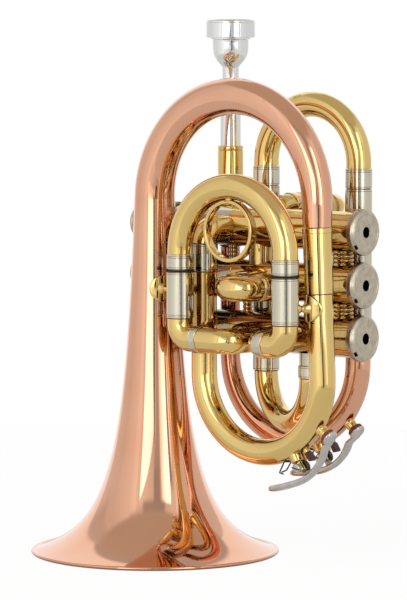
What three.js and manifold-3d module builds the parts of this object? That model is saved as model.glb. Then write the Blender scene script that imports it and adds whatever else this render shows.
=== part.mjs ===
import * as THREE from 'three';
import { mergeVertices } from 'three/addons/utils/BufferGeometryUtils.js';
import Module from 'manifold-3d';

// Pocket trumpet standing on its bell, in millimetres, +Z up.
// +X runs along the valves from the finger buttons to the bottom caps. -Y is the player's left side,
// where the third valve slide sits. The bell's axis is at X = 0, Y = 0, and its rim is at Z = 0.

const wasm = await Module();
wasm.setup();

// Clearances and sheet thicknesses
const seamGap = 0.3;             // between pieces that meet end to end or seat on each other
const slideGap = 0.3;            // between a slide's inner and outer tube, on the radius
const cutOverrun = 2;            // how far a cutting tool passes the surface that it opens
const bellWall = 0.8;
const tubeWall = 0.6;
const sleeveWall = 0.5;          // outer tubes of the slides

// Bell: radius = rimRadius * (flareOffset / (z + flareOffset)) ^ flareExponent, with the lowest
// part raised by rimLift so that the flare runs out to the rolled rim
const bellRimRadius = 61.5;
const bellLength = 175.9;
const flareOffset = 13;
const flareExponent = 0.675;
const rimLift = 1.3;
const rimLiftFade = 14;
const bellBeadRadius = 1;        // rolled wire edge
const bellBeadTurn = THREE.MathUtils.degToRad(60);
const bellStandWidth = 1.6;      // width of the flat that the bell stands on

// Tube radii, outside
const innerLegRadius = 5.85;     // slide leg that enters an outer tube
const slideCrookRadius = 6.2;    // slide bow above its ferrule
const sleeveRadius = innerLegRadius + slideGap + sleeveWall;
const branchStartRadius = 7.1;
const branchSeamRadius = 6.8;
const branchEndRadius = 6.2;
const bowCrownRadius = 8.75;
const knuckleRadius = 6.1;

// Bell bow and bell branch, in the plane Y = 0
const branchTopX = 101.8;        // right leg at the bell bow
const branchLowX = 105.2;        // right leg at the bottom bow
const bellBowDrop = 10.5;        // the bell's bow starts below the bell's tail
const bellBowJoinZ = bellLength - bellBowDrop;
const upperTubeLength = 31.4;
const lowerLegLength = 41.9;
const branchSeamZ = bellBowJoinZ - upperTubeLength;
const branchBowZ = branchSeamZ - lowerLegLength;         // centre height of the bottom bow
const bellPortX = 32;            // where the branch enters valve 1
const elbowRadius = 7.2;
const branchFerruleLength = 13.2;

// Valves
const bellToCasing = 1.59;       // clearance between the bell and the lowest casing
const valveDrop = 13.5;          // valve 1 below the bell's tail
const valveOneZ = bellLength - valveDrop;
const valveSpacing = 25.6;
const valveThreeZ = valveOneZ - 2 * valveSpacing;
const portPitch = 15.8;          // ports follow each other along the valve by about one stroke
const valveStroke = 16;
const casingRadius = 9.6;
const casingWall = 0.6;
const casingTopX = -4.1;
const casingLength = 112.3;
const casingTopShare = 0.335;    // share of the casing that is the nickel top part
const casingBeadHeight = 0.2;
const casingBeadLength = 1.6;
const bottomCapRadius = 11.3;
const bottomCapLength = 4.4;
const bottomCapBevel = 1.6;
const bottomCapFace = 1.3;
const ventRadius = 2.6;
const topCapRadius = 10.9;
const topCapLength = 5.6;
const topCapFace = 1.3;
const capEdge = 0.7;
const pistonRadius = casingRadius - casingWall - slideGap;
const pistonFoot = 2.4;          // solid end below the piston's lowest port
const barrelWall = 0.9;
const barrelLength = 29.2;
const portRadius = 5.3;
const stemRadius = 2.2;
const stemGap = 0.5;
const buttonRadius = 9;
const buttonLength = 3.8;
const buttonTravelGap = 0.7;     // left between button and cap with the valve right down
const guideLength = 1.5;
const guideArmWidth = 3.6;
const springWire = 0.5;          // radius of the wire
const springRadius = 5.6;        // radius of the coil
const springTurns = 5;
const stayX = 98;
const stayRadius = 5.6;
const stayGroove = 0.9;

// Third valve slide, in the plane Y = -thirdPlaneY
const thirdPlaneY = 17.7;
const thirdLeftX = 31.5;
const thirdSpread = 65;
const thirdTubeDrop = 1.4;       // the two tubes that run to valve 3 lie below its axis
const thirdSleeveRise = 9.4;
const thirdSleeveLength = 22.8;
const thirdBowRise = 10;
const thirdTubeZ = valveThreeZ - thirdTubeDrop;
const thirdSleeveLowZ = thirdTubeZ + thirdSleeveRise;
const thirdSleeveTopZ = thirdSleeveLowZ + thirdSleeveLength;
const thirdBowZ = thirdSleeveTopZ + thirdBowRise;
const thirdPortX = 62;
const thirdPortSpread = 16;
const thirdTravel = 15;
const oRingRadius = 0.5;
const ferruleLength = 5.9;
const fingerRingRadius = 15;
const fingerRingWall = 1.6;
const fingerRingWidth = 4.6;
const fingerRingX = 62.6;

// Second valve slide, pointing to -Y
const secondX = 61.5;
const secondSpread = 15;
const secondDrop = 1.6;          // slide below the axis of valve 2
const secondZ = valveOneZ - valveSpacing - secondDrop;
const secondBowY = -6;
const secondSleeveY = -4.3;
const secondTravel = 12;
const shortFerruleLength = 1.2;

// First valve slide, pointing to +Y
const firstX = 61.5;
const firstSpread = 19;
const firstLift = 9.9;           // slide above the axis of valve 1
const firstZ = valveOneZ + firstLift;
const firstRise = THREE.MathUtils.degToRad(40);
const firstSleeveReach = 15.8;   // from the valves' plane
const firstSleeveLength = 6.8;
const firstBowReach = 1.6;

// Leadpipe, tuning slide and mouthpiece, in the plane Y = leadPlaneY
const leadToValves = 17;         // from the valves' plane to the leadpipe's
const leadLeftX = 14.2;
const tuningLeftX = 37.4;
const tuningRightX = 94.8;
const leadBowDrop = 13.7;        // below valve 3
const leadRightLength = 14.5;
const tuningSleeveLength = 70;
const tuningFerruleLength = 10.1;
const tuningBowRise = 1.9;
const leadBowZ = valveThreeZ - leadBowDrop;
const leadRightTopZ = leadBowZ + leadRightLength;
const tuningSleeveTopZ = leadRightTopZ + tuningSleeveLength;
const tuningFerruleTopZ = tuningSleeveTopZ + tuningFerruleLength;
const tuningBowZ = tuningFerruleTopZ + tuningBowRise;
const leadStartRadius = 5;
const leadEndRadius = 6.25;
const receiverRadius = 6.45;
const receiverLength = 50.3;
const tuningTravel = 25;
const slideHold = 4;             // length that stays in the outer tube when a slide is right out

// Lower bow from the tuning slide to valve 3
const lowerPortX = bellPortX + 3 * portPitch;
const lowerBowDrop = 21.6;       // below valve 3
const lowerFerruleRise = 0.8;
const lowerFerruleLength = 6;
const lowerTubeRadius = 6;
const lowerBowZ = valveThreeZ - lowerBowDrop;
const lowerFerruleLowZ = lowerBowZ + lowerFerruleRise;
const lowerFerruleTopZ = lowerFerruleLowZ + lowerFerruleLength;

// Mouthpiece
const mouthpieceTopZ = 264.2;
const mouthpieceReach = 62.9;    // from the receiver to the rim
const mouthpieceInsert = 24;
const receiverTopZ = mouthpieceTopZ - mouthpieceReach;
const leadTopZ = receiverTopZ - receiverLength;
const rimRadius = 12.6;
const rimLength = 9.2;
const cupRadius = 9.05;
const cupLength = 12.4;
const throatRadius = 1.85;
const shankNeckRadius = 4.1;
const shankSeatRadius = 5.35;
const shankEndRadius = 4.75;

// Braces
const flangeRadius = 6.6;
const flangeThickness = 1.1;
const braceBallRadius = 2.7;
const bracePostRadius = 1.5;
const smallBallRadius = 2.2;
const smallPostRadius = 1.2;
const bellBraceDrop = 9.8;       // below the top of the third slide's outer tubes
const branchBraceDrop = 14.8;
const bellBraceZ = thirdSleeveTopZ - bellBraceDrop;
const branchBraceZ = thirdSleeveTopZ - branchBraceDrop;
const valveBraceX = 86;

// Water keys, in the plane of the bow that carries them
const keyCupAngle = THREE.MathUtils.degToRad(33);
const keyPivotAngle = THREE.MathUtils.degToRad(60);
const leadKeyTurn = THREE.MathUtils.degToRad(7.5);       // the leadpipe's key sits lower on its bow
const keyPivotHeight = 5.6;      // pivot above the tube's surface
const keyReach = 23;             // from the pivot to the tip of the finger blade
const bladeThickness = 1.4;
const bladeWidth = 4.6;
const barrelRadius = 2.3;
const barrelWidth = 5.4;
const screwRadius = 1.1;
const screwHeadRadius = 2.1;
const postThickness = 1.5;
const postWidth = 4.4;
const saddleThickness = 1.6;
const nippleRadius = 2.9;
const nippleHeight = 3.4;
const nippleBore = 1.6;
const corkRadius = 3.5;
const corkThickness = 1.9;
const cupWall = 0.8;
const cupSkirt = 1.3;

// Facets
const bellSides = 28;
const coilSteps = 8;
const bladeSteps = 10;
const wireSides = 4;
const tubeSides = 12;
const innerTubeSides = 10;       // tubes that the valves hide
const roundSides = 16;
const pistonSides = 12;
const smallSides = 10;
const portSides = 8;
const elbowStep = THREE.MathUtils.degToRad(30);
const bowStep = THREE.MathUtils.degToRad(18);
const saddleReach = THREE.MathUtils.degToRad(25);
const sameSpot = 1e-4;

// Finishes
const finish = (color, roughness) => new THREE.MeshStandardMaterial({ color, roughness, metalness: 1 });
const roseBrass = finish(0xc9826b, 0.2);
const lacqueredBrass = finish(0xd0a548, 0.18);
const nickelSilver = finish(0xb9b6ae, 0.25);
const satinNickel = finish(0xa8a29a, 0.45);
const silverPlate = finish(0xe4e4e2, 0.12);
const springSteel = finish(0x4a4a4c, 0.4);
const blackRubber = new THREE.MeshStandardMaterial({ color: 0x121212, roughness: 0.7 });
const brownCork = new THREE.MeshStandardMaterial({ color: 0x7c3f24, roughness: 0.9 });

const xAxis = new THREE.Vector3(1, 0, 0);
const yAxis = new THREE.Vector3(0, 1, 0);
const zAxis = new THREE.Vector3(0, 0, 1);
const vec = (x, y, z) => new THREE.Vector3(x, y, z);

const trumpet = new THREE.Group();

function piece(name, geometry, material, parent = trumpet) {
  geometry.computeVertexNormals();
  const mesh = new THREE.Mesh(geometry, material);
  mesh.name = name;
  parent.add(mesh);
  return mesh;
}

// One closed shell with shared corners, no empty triangles, and its faces pointing out
function closed(geometry) {
  geometry.deleteAttribute('normal');
  geometry.deleteAttribute('uv');
  const merged = mergeVertices(geometry, sameSpot);
  const corner = (i) => vec().fromBufferAttribute(merged.attributes.position, i);
  const kept = [];
  let volume = 0;
  for (let i = 0; i < merged.index.count; i += 3) {
    const [a, b, c] = [0, 1, 2].map((k) => merged.index.getX(i + k));
    if (a === b || b === c || c === a) continue;
    kept.push(a, b, c);
    volume += corner(a).dot(corner(b).cross(corner(c)));
  }
  merged.setIndex(volume < 0 ? kept.reverse() : kept);
  return merged;
}

// A closed outline of [radius, height] points turned about +Z
function turned(outline, sides = roundSides) {
  const points = outline.map(([radius, height]) => new THREE.Vector2(radius, height));
  const lathe = new THREE.LatheGeometry(points, sides);
  lathe.rotateX(Math.PI / 2);
  return closed(lathe);
}

// A rod about +Z, from height low to height high
const rod = (radius, low, high, sides = smallSides) =>
  turned([[0, low], [radius, low], [radius, high], [0, high]], sides);

// A ring about +Z
const ring = (outer, inner, low, high, sides = roundSides) =>
  turned([[inner, low], [outer, low], [outer, high], [inner, high], [inner, low]], sides);

// Turns a piece that was built about +Z to point along a direction, and moves it to a place
function aimed(geometry, direction, place = vec()) {
  const turn = new THREE.Quaternion().setFromUnitVectors(zAxis, direction.clone().normalize());
  geometry.applyQuaternion(turn);
  geometry.translate(place.x, place.y, place.z);
  return geometry;
}

function solid(geometry) {
  return new wasm.Manifold(new wasm.Mesh({
    numProp: 3,
    vertProperties: new Float32Array(geometry.attributes.position.array),
    triVerts: new Uint32Array(geometry.index.array),
  }));
}

function shell(manifold) {
  const mesh = manifold.getMesh();
  const geometry = new THREE.BufferGeometry();
  geometry.setAttribute('position', new THREE.Float32BufferAttribute(mesh.vertProperties, 3));
  geometry.setIndex(Array.from(mesh.triVerts));
  return closed(geometry);
}

const without = (geometry, cutters) =>
  shell(cutters.reduce((body, cutter) => body.subtract(solid(cutter)), solid(geometry)));

const joined = (parts) => shell(parts.map(solid).reduce((body, part) => body.add(part)));

// A route through corner points. A corner with a bend radius is rounded by an arc.
class Route {
  constructor(corners, step = bowStep) {
    this.segments = [];
    this.marks = [0];
    this.length = 0;
    let from = corners[0].at;
    for (let i = 1; i < corners.length; i += 1) {
      const { at, bend } = corners[i];
      if (!bend) {
        this.addLine(from, at);
        from = at;
        continue;
      }
      const into = at.clone().sub(corners[i - 1].at).normalize();
      const away = corners[i + 1].at.clone().sub(at).normalize();
      const angle = into.angleTo(away);
      const reach = bend * Math.tan(angle / 2);
      const start = at.clone().addScaledVector(into, -reach);
      this.addLine(from, start);
      this.addArc(start, into, away, angle, bend, step);
      from = at.clone().addScaledVector(away, reach);
    }
  }

  addLine(from, to) {
    const direction = to.clone().sub(from);
    const length = direction.length();
    if (length < sameSpot) return;
    direction.normalize();
    const at = (s) => ({ point: from.clone().addScaledVector(direction, s), tangent: direction });
    this.add(length, 1, at);
  }

  addArc(start, into, away, angle, bend, step) {
    const inward = away.clone().addScaledVector(into, -Math.cos(angle)).normalize();
    const centre = start.clone().addScaledVector(inward, bend);
    const at = (s) => {
      const turn = s / bend;
      const point = centre.clone()
        .addScaledVector(inward, -bend * Math.cos(turn))
        .addScaledVector(into, bend * Math.sin(turn));
      const tangent = into.clone().multiplyScalar(Math.cos(turn))
        .addScaledVector(inward, Math.sin(turn));
      return { point, tangent };
    };
    this.add(bend * angle, Math.ceil(angle / step - sameSpot), at);
  }

  add(length, steps, at) {
    this.segments.push({ start: this.length, length, at });
    for (let k = 1; k <= steps; k += 1) this.marks.push(this.length + (length * k) / steps);
    this.length += length;
  }

  at(distance) {
    const last = this.segments[this.segments.length - 1];
    const found = this.segments.find((s) => distance <= s.start + s.length) ?? last;
    return found.at(distance - found.start);
  }
}

// Reads a list of [distance, radius] pairs at a distance
function radiusAt(pairs, distance) {
  if (distance <= pairs[0][0]) return pairs[0][1];
  for (let i = 1; i < pairs.length; i += 1) {
    const [d0, r0] = pairs[i - 1];
    const [d1, r1] = pairs[i];
    if (distance <= d1) return r0 + ((r1 - r0) * (distance - d0)) / (d1 - d0);
  }
  return pairs[pairs.length - 1][1];
}

// A hollow tube along a route, with its outside and its bore given as [distance, radius] pairs.
// Without a bore the bar is filled.
function tube(route, outside, bore = null, sides = tubeSides) {
  const inside = bore ?? even(0);
  const inOrder = (distances) => distances
    .filter((d) => d >= 0 && d <= route.length)
    .sort((a, b) => a - b)
    .filter((d, i, all) => i === 0 || d - all[i - 1] > sameSpot);
  const corners = [];
  const loopsOf = (pairs) => {
    let side = null;
    let before = null;
    return inOrder([...route.marks, ...pairs.map((p) => p[0])]).map((distance) => {
      const { point, tangent } = route.at(distance);
      if (side === null) {
        const guide = Math.abs(tangent.y) > 0.9 ? xAxis : yAxis;
        side = guide.clone().addScaledVector(tangent, -guide.dot(tangent)).normalize();
      } else {
        side.applyQuaternion(new THREE.Quaternion().setFromUnitVectors(before, tangent));
      }
      before = tangent.clone();
      const across = tangent.clone().cross(side);
      const radius = radiusAt(pairs, distance);
      return Array.from({ length: sides }, (_, k) => {
        const turn = (2 * Math.PI * k) / sides;
        const spot = point.clone()
          .addScaledVector(side, radius * Math.cos(turn))
          .addScaledVector(across, radius * Math.sin(turn));
        corners.push(spot.x, spot.y, spot.z);
        return corners.length / 3 - 1;
      });
    });
  };
  const outer = loopsOf(outside);
  const inner = loopsOf(inside);
  const filled = [inner[0], ...outer, inner[inner.length - 1]];
  const hollow = [...outer, ...inner.reverse(), outer[0]];
  return skinned(corners, bore ? hollow : filled);
}

// Joins loops of corners by two triangles a facet
function skinned(corners, loops) {
  const index = [];
  for (let i = 1; i < loops.length; i += 1) {
    const [low, high] = [loops[i - 1], loops[i]];
    for (let k = 0; k < low.length; k += 1) {
      const next = (k + 1) % low.length;
      index.push(low[k], low[next], high[k], low[next], high[next], high[k]);
    }
  }
  const geometry = new THREE.BufferGeometry();
  geometry.setAttribute('position', new THREE.Float32BufferAttribute(corners, 3));
  geometry.setIndex(index);
  return closed(geometry);
}

const even = (radius) => [[0, radius]];

// The bell's outside at a height
function bellRadius(z) {
  const flare = z - rimLift * Math.exp(-z / rimLiftFade) + flareOffset;
  return bellRimRadius * (flareOffset / flare) ** flareExponent;
}

// Heights and places that several pieces share
const valvePlaneY = bellRadius(valveThreeZ) + casingRadius + bellToCasing;
const leadPlaneY = valvePlaneY + leadToValves;
const valveZ = (number) => valveOneZ - (number - 1) * valveSpacing;
const casingBore = casingRadius - casingWall;
const casingBottomX = casingTopX + casingLength;
const casingSeatRadius = casingRadius + seamGap;
const portX = (number) => bellPortX + number * portPitch;
const valveAxisPoint = (number, x) => vec(x, valvePlaneY, valveZ(number));
const toLeft = vec(0, -1, 0);
const toRight = vec(0, 1, 0);
const toTop = vec(0, 0, 1);
const toFloor = vec(0, 0, -1);
const toFirstSlide = vec(0, Math.cos(firstRise), Math.sin(firstRise));

// The space that a casing fills, grown by the seam gap, which cuts saddle ends
const casingSpace = (number) =>
  aimed(rod(casingSeatRadius, casingTopX, casingBottomX, roundSides), xAxis,
    vec(0, valvePlaneY, valveZ(number)));

// Bell
const flareShares = [1, 0.74, 0.53, 0.37, 0.25, 0.165, 0.105, 0.062, 0.031, 0.0135];

const bellOutline = (grow = 0) =>
  flareShares.map((share) => [bellRadius(share * bellLength) + grow, share * bellLength]);

function makeBell() {
  const outer = bellOutline();
  const inner = outer.map(([radius, z]) => {
    const slope = (bellRadius(z + sameSpot) - radius) / sameSpot;
    const lean = Math.hypot(1, slope);
    return [radius - bellWall / lean, z + (bellWall * slope) / lean];
  });
  inner[0] = [bellRadius(bellLength) - bellWall, bellLength];
  const beadCentre = bellRimRadius - bellBeadRadius;
  const bead = [bellBeadTurn, 0, -bellBeadTurn].map((turn) =>
    [beadCentre + bellBeadRadius * Math.cos(turn), bellBeadRadius * (1 + Math.sin(turn))]);
  bead.push([beadCentre, 0], [beadCentre - bellStandWidth, 0]);
  piece('bell', turned([...outer, ...bead, ...inner.reverse(), outer[0]], bellSides), roseBrass);
}

const bellSpace = () => turned([[0, 0], [bellRimRadius, 0], ...bellOutline(seamGap).reverse(), [0, bellLength]],
  bellSides);

// Top bow and bell branch
const bowRadius = branchTopX / 2;
const branchBowRadius = (branchLowX - bellPortX) / 2;
const branchBowX = bellPortX + branchBowRadius;

function makeBellBow() {
  const startZ = bellLength + seamGap;
  const crownZ = startZ + bowRadius;
  const route = new Route([
    { at: vec(0, 0, startZ) },
    { at: vec(0, 0, crownZ), bend: bowRadius },
    { at: vec(branchTopX, 0, crownZ), bend: bowRadius },
    { at: vec(branchTopX, 0, bellBowJoinZ + seamGap) },
  ]);
  const tail = bellRadius(bellLength);
  const outside = [[0, tail], [route.length / 2, bowCrownRadius], [route.length, branchStartRadius]];
  piece('bell_bow', tube(route, outside, outside.map(([d, r]) => [d, r - tubeWall])), roseBrass);
}

// The right leg leans out a little on its way down
const legX = (z) => branchTopX
  + ((branchLowX - branchTopX) * (bellBowJoinZ - z)) / (bellBowJoinZ - branchBowZ);

function makeBranchUpper() {
  const route = new Route([
    { at: vec(legX(bellBowJoinZ), 0, bellBowJoinZ - seamGap / 2) },
    { at: vec(legX(branchSeamZ), 0, branchSeamZ) },
  ]);
  const outside = [[0, branchStartRadius], [route.length, branchSeamRadius]];
  piece('branch_upper_tube', tube(route, outside, outside.map(([d, r]) => [d, r - tubeWall])),
    lacqueredBrass);
}

// A bow that carries a water key, seen in the plane Y = planeY
const keyBows = [
  { number: 1, x: branchBowX, y: 0, z: branchBowZ, bow: branchBowRadius, tube: branchEndRadius + tubeWall / 2,
    turn: 0 },
  { number: 2, x: (leadLeftX + tuningRightX) / 2, y: leadPlaneY, z: leadBowZ,
    bow: (tuningRightX - leadLeftX) / 2, tube: leadEndRadius, turn: leadKeyTurn },
];
const outward = (angle) => vec(Math.cos(angle), 0, -Math.sin(angle));
const onBow = (bow, angle, height) =>
  vec(bow.x, bow.y, bow.z).addScaledVector(outward(angle), bow.bow + bow.tube + height);

// The nipple that a cork closes, soldered on the bow and drilled through its wall
function withNipple(tubeGeometry, bow) {
  const root = -bow.tube / 2;
  const angle = keyCupAngle + bow.turn;
  const place = onBow(bow, angle, 0);
  const direction = outward(angle);
  const stub = aimed(rod(nippleRadius, root, nippleHeight), direction, place);
  const hole = aimed(rod(nippleBore, root - cutOverrun, nippleHeight + cutOverrun), direction, place);
  const bore = aimed(rod(nippleRadius + cutOverrun, -bow.tube, -tubeWall - cutOverrun / 4), direction, place);
  return shell(solid(tubeGeometry).add(solid(stub).subtract(solid(bore))).subtract(solid(hole)));
}

function makeBranchBow() {
  const top = branchSeamZ - seamGap;
  const low = branchBowZ - branchBowRadius;
  const route = new Route([
    { at: vec(legX(top), 0, top) },
    { at: vec(branchLowX, 0, branchBowZ) },
    { at: vec(branchLowX, 0, low), bend: branchBowRadius },
    { at: vec(bellPortX, 0, low), bend: branchBowRadius },
    { at: vec(bellPortX, 0, valveOneZ - elbowRadius - branchFerruleLength - 2 * seamGap) },
  ]);
  const outside = [[0, branchSeamRadius - tubeWall / 2], [route.length, branchEndRadius]];
  const pipe = tube(route, outside, outside.map(([d, r]) => [d, r - tubeWall]));
  piece('branch_bow', withNipple(pipe, keyBows[0]), lacqueredBrass);
}

function makeBranchEnd() {
  const elbowLowZ = valveOneZ - elbowRadius;
  const ferruleTopZ = elbowLowZ - seamGap;
  const ferrule = ring(sleeveRadius, branchEndRadius - tubeWall, ferruleTopZ - branchFerruleLength, ferruleTopZ,
    tubeSides);
  ferrule.translate(bellPortX, 0, 0);
  piece('branch_ferrule', ferrule, nickelSilver);
  const route = new Route([
    { at: vec(bellPortX, 0, elbowLowZ) },
    { at: vec(bellPortX, 0, valveOneZ), bend: elbowRadius },
    { at: vec(bellPortX, valvePlaneY, valveOneZ) },
  ], elbowStep);
  const elbow = tube(route, even(knuckleRadius), even(knuckleRadius - tubeWall));
  piece('branch_elbow', without(elbow, [casingSpace(1)]), lacqueredBrass);
}

// Valves
const portsOf = {
  1: {
    through: [{ x: portX(1), side: toFloor }, { x: portX(0), side: toLeft }],
    slide: [
      { x: firstX - firstSpread / 2, side: toFirstSlide },
      { x: firstX + firstSpread / 2, side: toFirstSlide },
    ],
  },
  2: {
    through: [{ x: portX(2), side: toFloor }, { x: portX(1), side: toTop }],
    slide: [
      { x: secondX - secondSpread / 2, side: toLeft },
      { x: secondX + secondSpread / 2, side: toLeft },
    ],
  },
  3: {
    through: [{ x: portX(3), side: toFloor }, { x: portX(2), side: toTop }],
    slide: [
      { x: thirdPortX, side: toLeft },
      { x: thirdPortX + thirdPortSpread, side: toLeft },
    ],
  },
};

// The spring is held between the barrel's head, which moves, and a guide fixed in the casing
const barrelTopX = casingTopX - topCapLength + topCapFace + seamGap * 2;
const barrelEndX = barrelTopX + barrelLength;
const guideX = barrelEndX - guideLength - seamGap * 2;
const springEndX = guideX - seamGap;

function makeCasing(number, valve) {
  const topLength = casingLength * casingTopShare;
  const bead = casingRadius + casingBeadHeight;
  const beadX = casingTopX + topLength;
  const tubeShape = turned([
    [casingBore, casingTopX],
    [casingRadius, casingTopX],
    [casingRadius, beadX],
    [bead, beadX + casingBeadHeight],
    [bead, beadX + casingBeadLength - casingBeadHeight],
    [casingRadius, beadX + casingBeadLength],
    [casingRadius, casingBottomX],
    [casingBore, casingBottomX],
    [casingBore, casingTopX],
  ]);
  const drills = [...portsOf[number].through, ...portsOf[number].slide].map(({ x, side }) =>
    aimed(rod(portRadius, 0, casingRadius + cutOverrun, portSides), side, vec(x, 0, 0)));
  const body = drills.reduce((rest, drill) => rest.subtract(solid(drill)),
    solid(aimed(tubeShape, xAxis)));
  const disc = aimed(rod(pistonRadius - barrelWall - seamGap, guideX, guideX + guideLength, roundSides),
    xAxis);
  const arms = new THREE.BoxGeometry(guideLength, 2 * (casingRadius - casingWall / 2), guideArmWidth);
  arms.translate(guideX + guideLength / 2, 0, 0);
  const eye = aimed(rod(stemRadius + stemGap, guideX - cutOverrun, guideX + guideLength + cutOverrun), xAxis);
  const guide = solid(disc).add(solid(closed(arms))).subtract(solid(eye));
  piece(`valve_casing_${number}`, shell(body.add(guide)), lacqueredBrass, valve);
}

function makeCaps(number, valve) {
  const bottomX = casingBottomX + seamGap;
  const faceX = bottomX + bottomCapLength;
  const bottom = turned([
    [ventRadius, faceX - bottomCapFace],
    [casingBore - capEdge, faceX - bottomCapFace],
    [casingBore - capEdge, bottomX],
    [bottomCapRadius, bottomX],
    [bottomCapRadius, faceX - bottomCapBevel],
    [bottomCapRadius - bottomCapBevel, faceX],
    [ventRadius, faceX],
    [ventRadius, faceX - bottomCapFace],
  ]);
  piece(`bottom_cap_${number}`, aimed(bottom, xAxis), satinNickel, valve);
  const topX = casingTopX - seamGap;
  const outX = topX - topCapLength;
  const hole = stemRadius + stemGap;
  const top = turned([
    [hole, outX + topCapFace],
    [hole, outX],
    [topCapRadius - 2 * capEdge, outX],
    [topCapRadius, outX + 2 * capEdge],
    [topCapRadius, topX],
    [casingBore, topX],
    [casingBore, outX + topCapFace],
    [hole, outX + topCapFace],
  ]);
  piece(`top_cap_${number}`, aimed(top, xAxis), satinNickel, valve);
}

const topCapOutX = casingTopX - seamGap - topCapLength;
const buttonInX = topCapOutX - valveStroke - buttonTravelGap;

function makePiston(number, valve) {
  const wall = pistonRadius - barrelWall;
  const pistonEndX = portX(3) + portRadius + pistonFoot;
  const stemEndX = buttonInX + seamGap;
  const body = turned([
    [0, stemEndX],
    [stemRadius, stemEndX],
    [stemRadius, barrelTopX],
    [pistonRadius, barrelTopX],
    [pistonRadius, pistonEndX],
    [0, pistonEndX],
  ], pistonSides);
  const headX = barrelTopX + barrelWall;
  const chamber = ring(wall, stemRadius, headX, barrelEndX, pistonSides);
  const slotLength = barrelEndX - guideX + valveStroke + seamGap;
  const slots = new THREE.BoxGeometry(slotLength, 2 * (pistonRadius + cutOverrun), guideArmWidth + 2 * seamGap);
  slots.translate(barrelEndX - slotLength / 2, 0, 0);
  const slotCore = solid(closed(slots)).subtract(
    solid(aimed(rod(wall - barrelWall, headX - cutOverrun, barrelEndX + cutOverrun, pistonSides), xAxis)));
  const ports = portsOf[number];
  const middle = (ports.through[0].x + ports.through[1].x) / 2;
  const depth = pistonRadius - portRadius;
  const through = ports.through.map(({ x, side }) => {
    const mouth = vec(x, 0, 0).addScaledVector(side, pistonRadius);
    const run = mouth.clone().sub(vec(middle, 0, 0));
    return aimed(rod(portRadius, 0, run.length() + cutOverrun, portSides), run, vec(middle, 0, 0));
  });
  const pockets = [...ports.slide, ports.through[0], ports.through[1]]
    .map(({ x, side }) => ({ x: x - valveStroke, side }))
    .filter(({ x }) => x - portRadius > barrelEndX + barrelWall)
    .map(({ x, side }) => aimed(rod(portRadius, pistonRadius - depth, pistonRadius + cutOverrun, portSides),
      side, vec(x, 0, 0)));
  const cut = [...through, ...pockets].reduce((rest, drill) => rest.subtract(solid(drill)),
    solid(aimed(body, xAxis)).subtract(solid(aimed(chamber, xAxis))).subtract(slotCore));
  piece(`piston_${number}`, shell(cut), nickelSilver, valve);
}

function makeButton(number, valve) {
  const outX = buttonInX - buttonLength;
  const dish = capEdge / 2;
  const button = turned([
    [0, outX + dish],
    [buttonRadius - 2 * capEdge, outX + dish],
    [buttonRadius - capEdge, outX],
    [buttonRadius, outX + capEdge],
    [buttonRadius, outX + buttonLength / 2],
    [buttonRadius - 2 * capEdge, buttonInX],
    [0, buttonInX],
  ]);
  piece(`finger_button_${number}`, aimed(button, xAxis), satinNickel, valve);
}

// A coil of wire about +X, from low to high, with flat-cut ends
function makeSpring(number, valve) {
  const low = barrelTopX + barrelWall + seamGap + springWire;
  const high = springEndX - springWire;
  const corners = [];
  const loops = [];
  const count = springTurns * coilSteps;
  for (let i = 0; i <= count; i += 1) {
    const turn = (2 * Math.PI * i) / coilSteps;
    const out = vec(0, Math.cos(turn), Math.sin(turn));
    const centre = vec(low + ((high - low) * i) / count, 0, 0).addScaledVector(out, springRadius);
    const loop = [];
    for (let k = 0; k < wireSides; k += 1) {
      const around = (2 * Math.PI * k) / wireSides;
      const spot = centre.clone()
        .addScaledVector(out, springWire * Math.cos(around))
        .addScaledVector(xAxis, springWire * Math.sin(around));
      loop.push(corners.length / 3);
      corners.push(spot.x, spot.y, spot.z);
    }
    loops.push(loop);
  }
  const index = [];
  for (let i = 1; i < loops.length; i += 1) {
    for (let k = 0; k < wireSides; k += 1) {
      const next = (k + 1) % wireSides;
      const [a, b, c, d] = [loops[i - 1][k], loops[i - 1][next], loops[i][k], loops[i][next]];
      index.push(a, b, c, b, d, c);
    }
  }
  for (let k = 1; k < wireSides - 1; k += 1) {
    index.push(loops[0][0], loops[0][k + 1], loops[0][k]);
    index.push(loops[count][0], loops[count][k], loops[count][k + 1]);
  }
  const geometry = new THREE.BufferGeometry();
  geometry.setAttribute('position', new THREE.Float32BufferAttribute(corners, 3));
  geometry.setIndex(index);
  piece(`valve_spring_${number}`, closed(geometry), springSteel, valve);
}

function makeValves() {
  for (const number of [1, 2, 3]) {
    const valve = new THREE.Group();
    valve.position.set(0, valvePlaneY, valveZ(number));
    trumpet.add(valve);
    makeCasing(number, valve);
    makeCaps(number, valve);
    makePiston(number, valve);
    makeButton(number, valve);
    makeSpring(number, valve);
  }
}

// Tubes and stays between neighbouring casings
function makeCasingLinks() {
  for (const upper of [1, 2]) {
    const place = (x) => vec(x, valvePlaneY, valveZ(upper + 1));
    const spaces = [casingSpace(upper), casingSpace(upper + 1)];
    const knuckle = ring(knuckleRadius, knuckleRadius - tubeWall, 0, valveSpacing, tubeSides);
    piece(`valve_knuckle_${upper}_${upper + 1}`,
      without(aimed(knuckle, zAxis, place(portX(upper))), spaces), lacqueredBrass);
    const middle = valveSpacing / 2;
    const waist = stayRadius - stayGroove;
    const stay = turned([
      [0, 0],
      [stayRadius, 0],
      [stayRadius, middle - 2 * stayGroove],
      [waist, middle - stayGroove],
      [waist, middle + stayGroove],
      [stayRadius, middle + 2 * stayGroove],
      [stayRadius, valveSpacing],
      [0, valveSpacing],
    ], tubeSides);
    piece(`casing_stay_${upper}_${upper + 1}`, without(aimed(stay, zAxis, place(stayX)), spaces),
      lacqueredBrass);
  }
}

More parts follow.
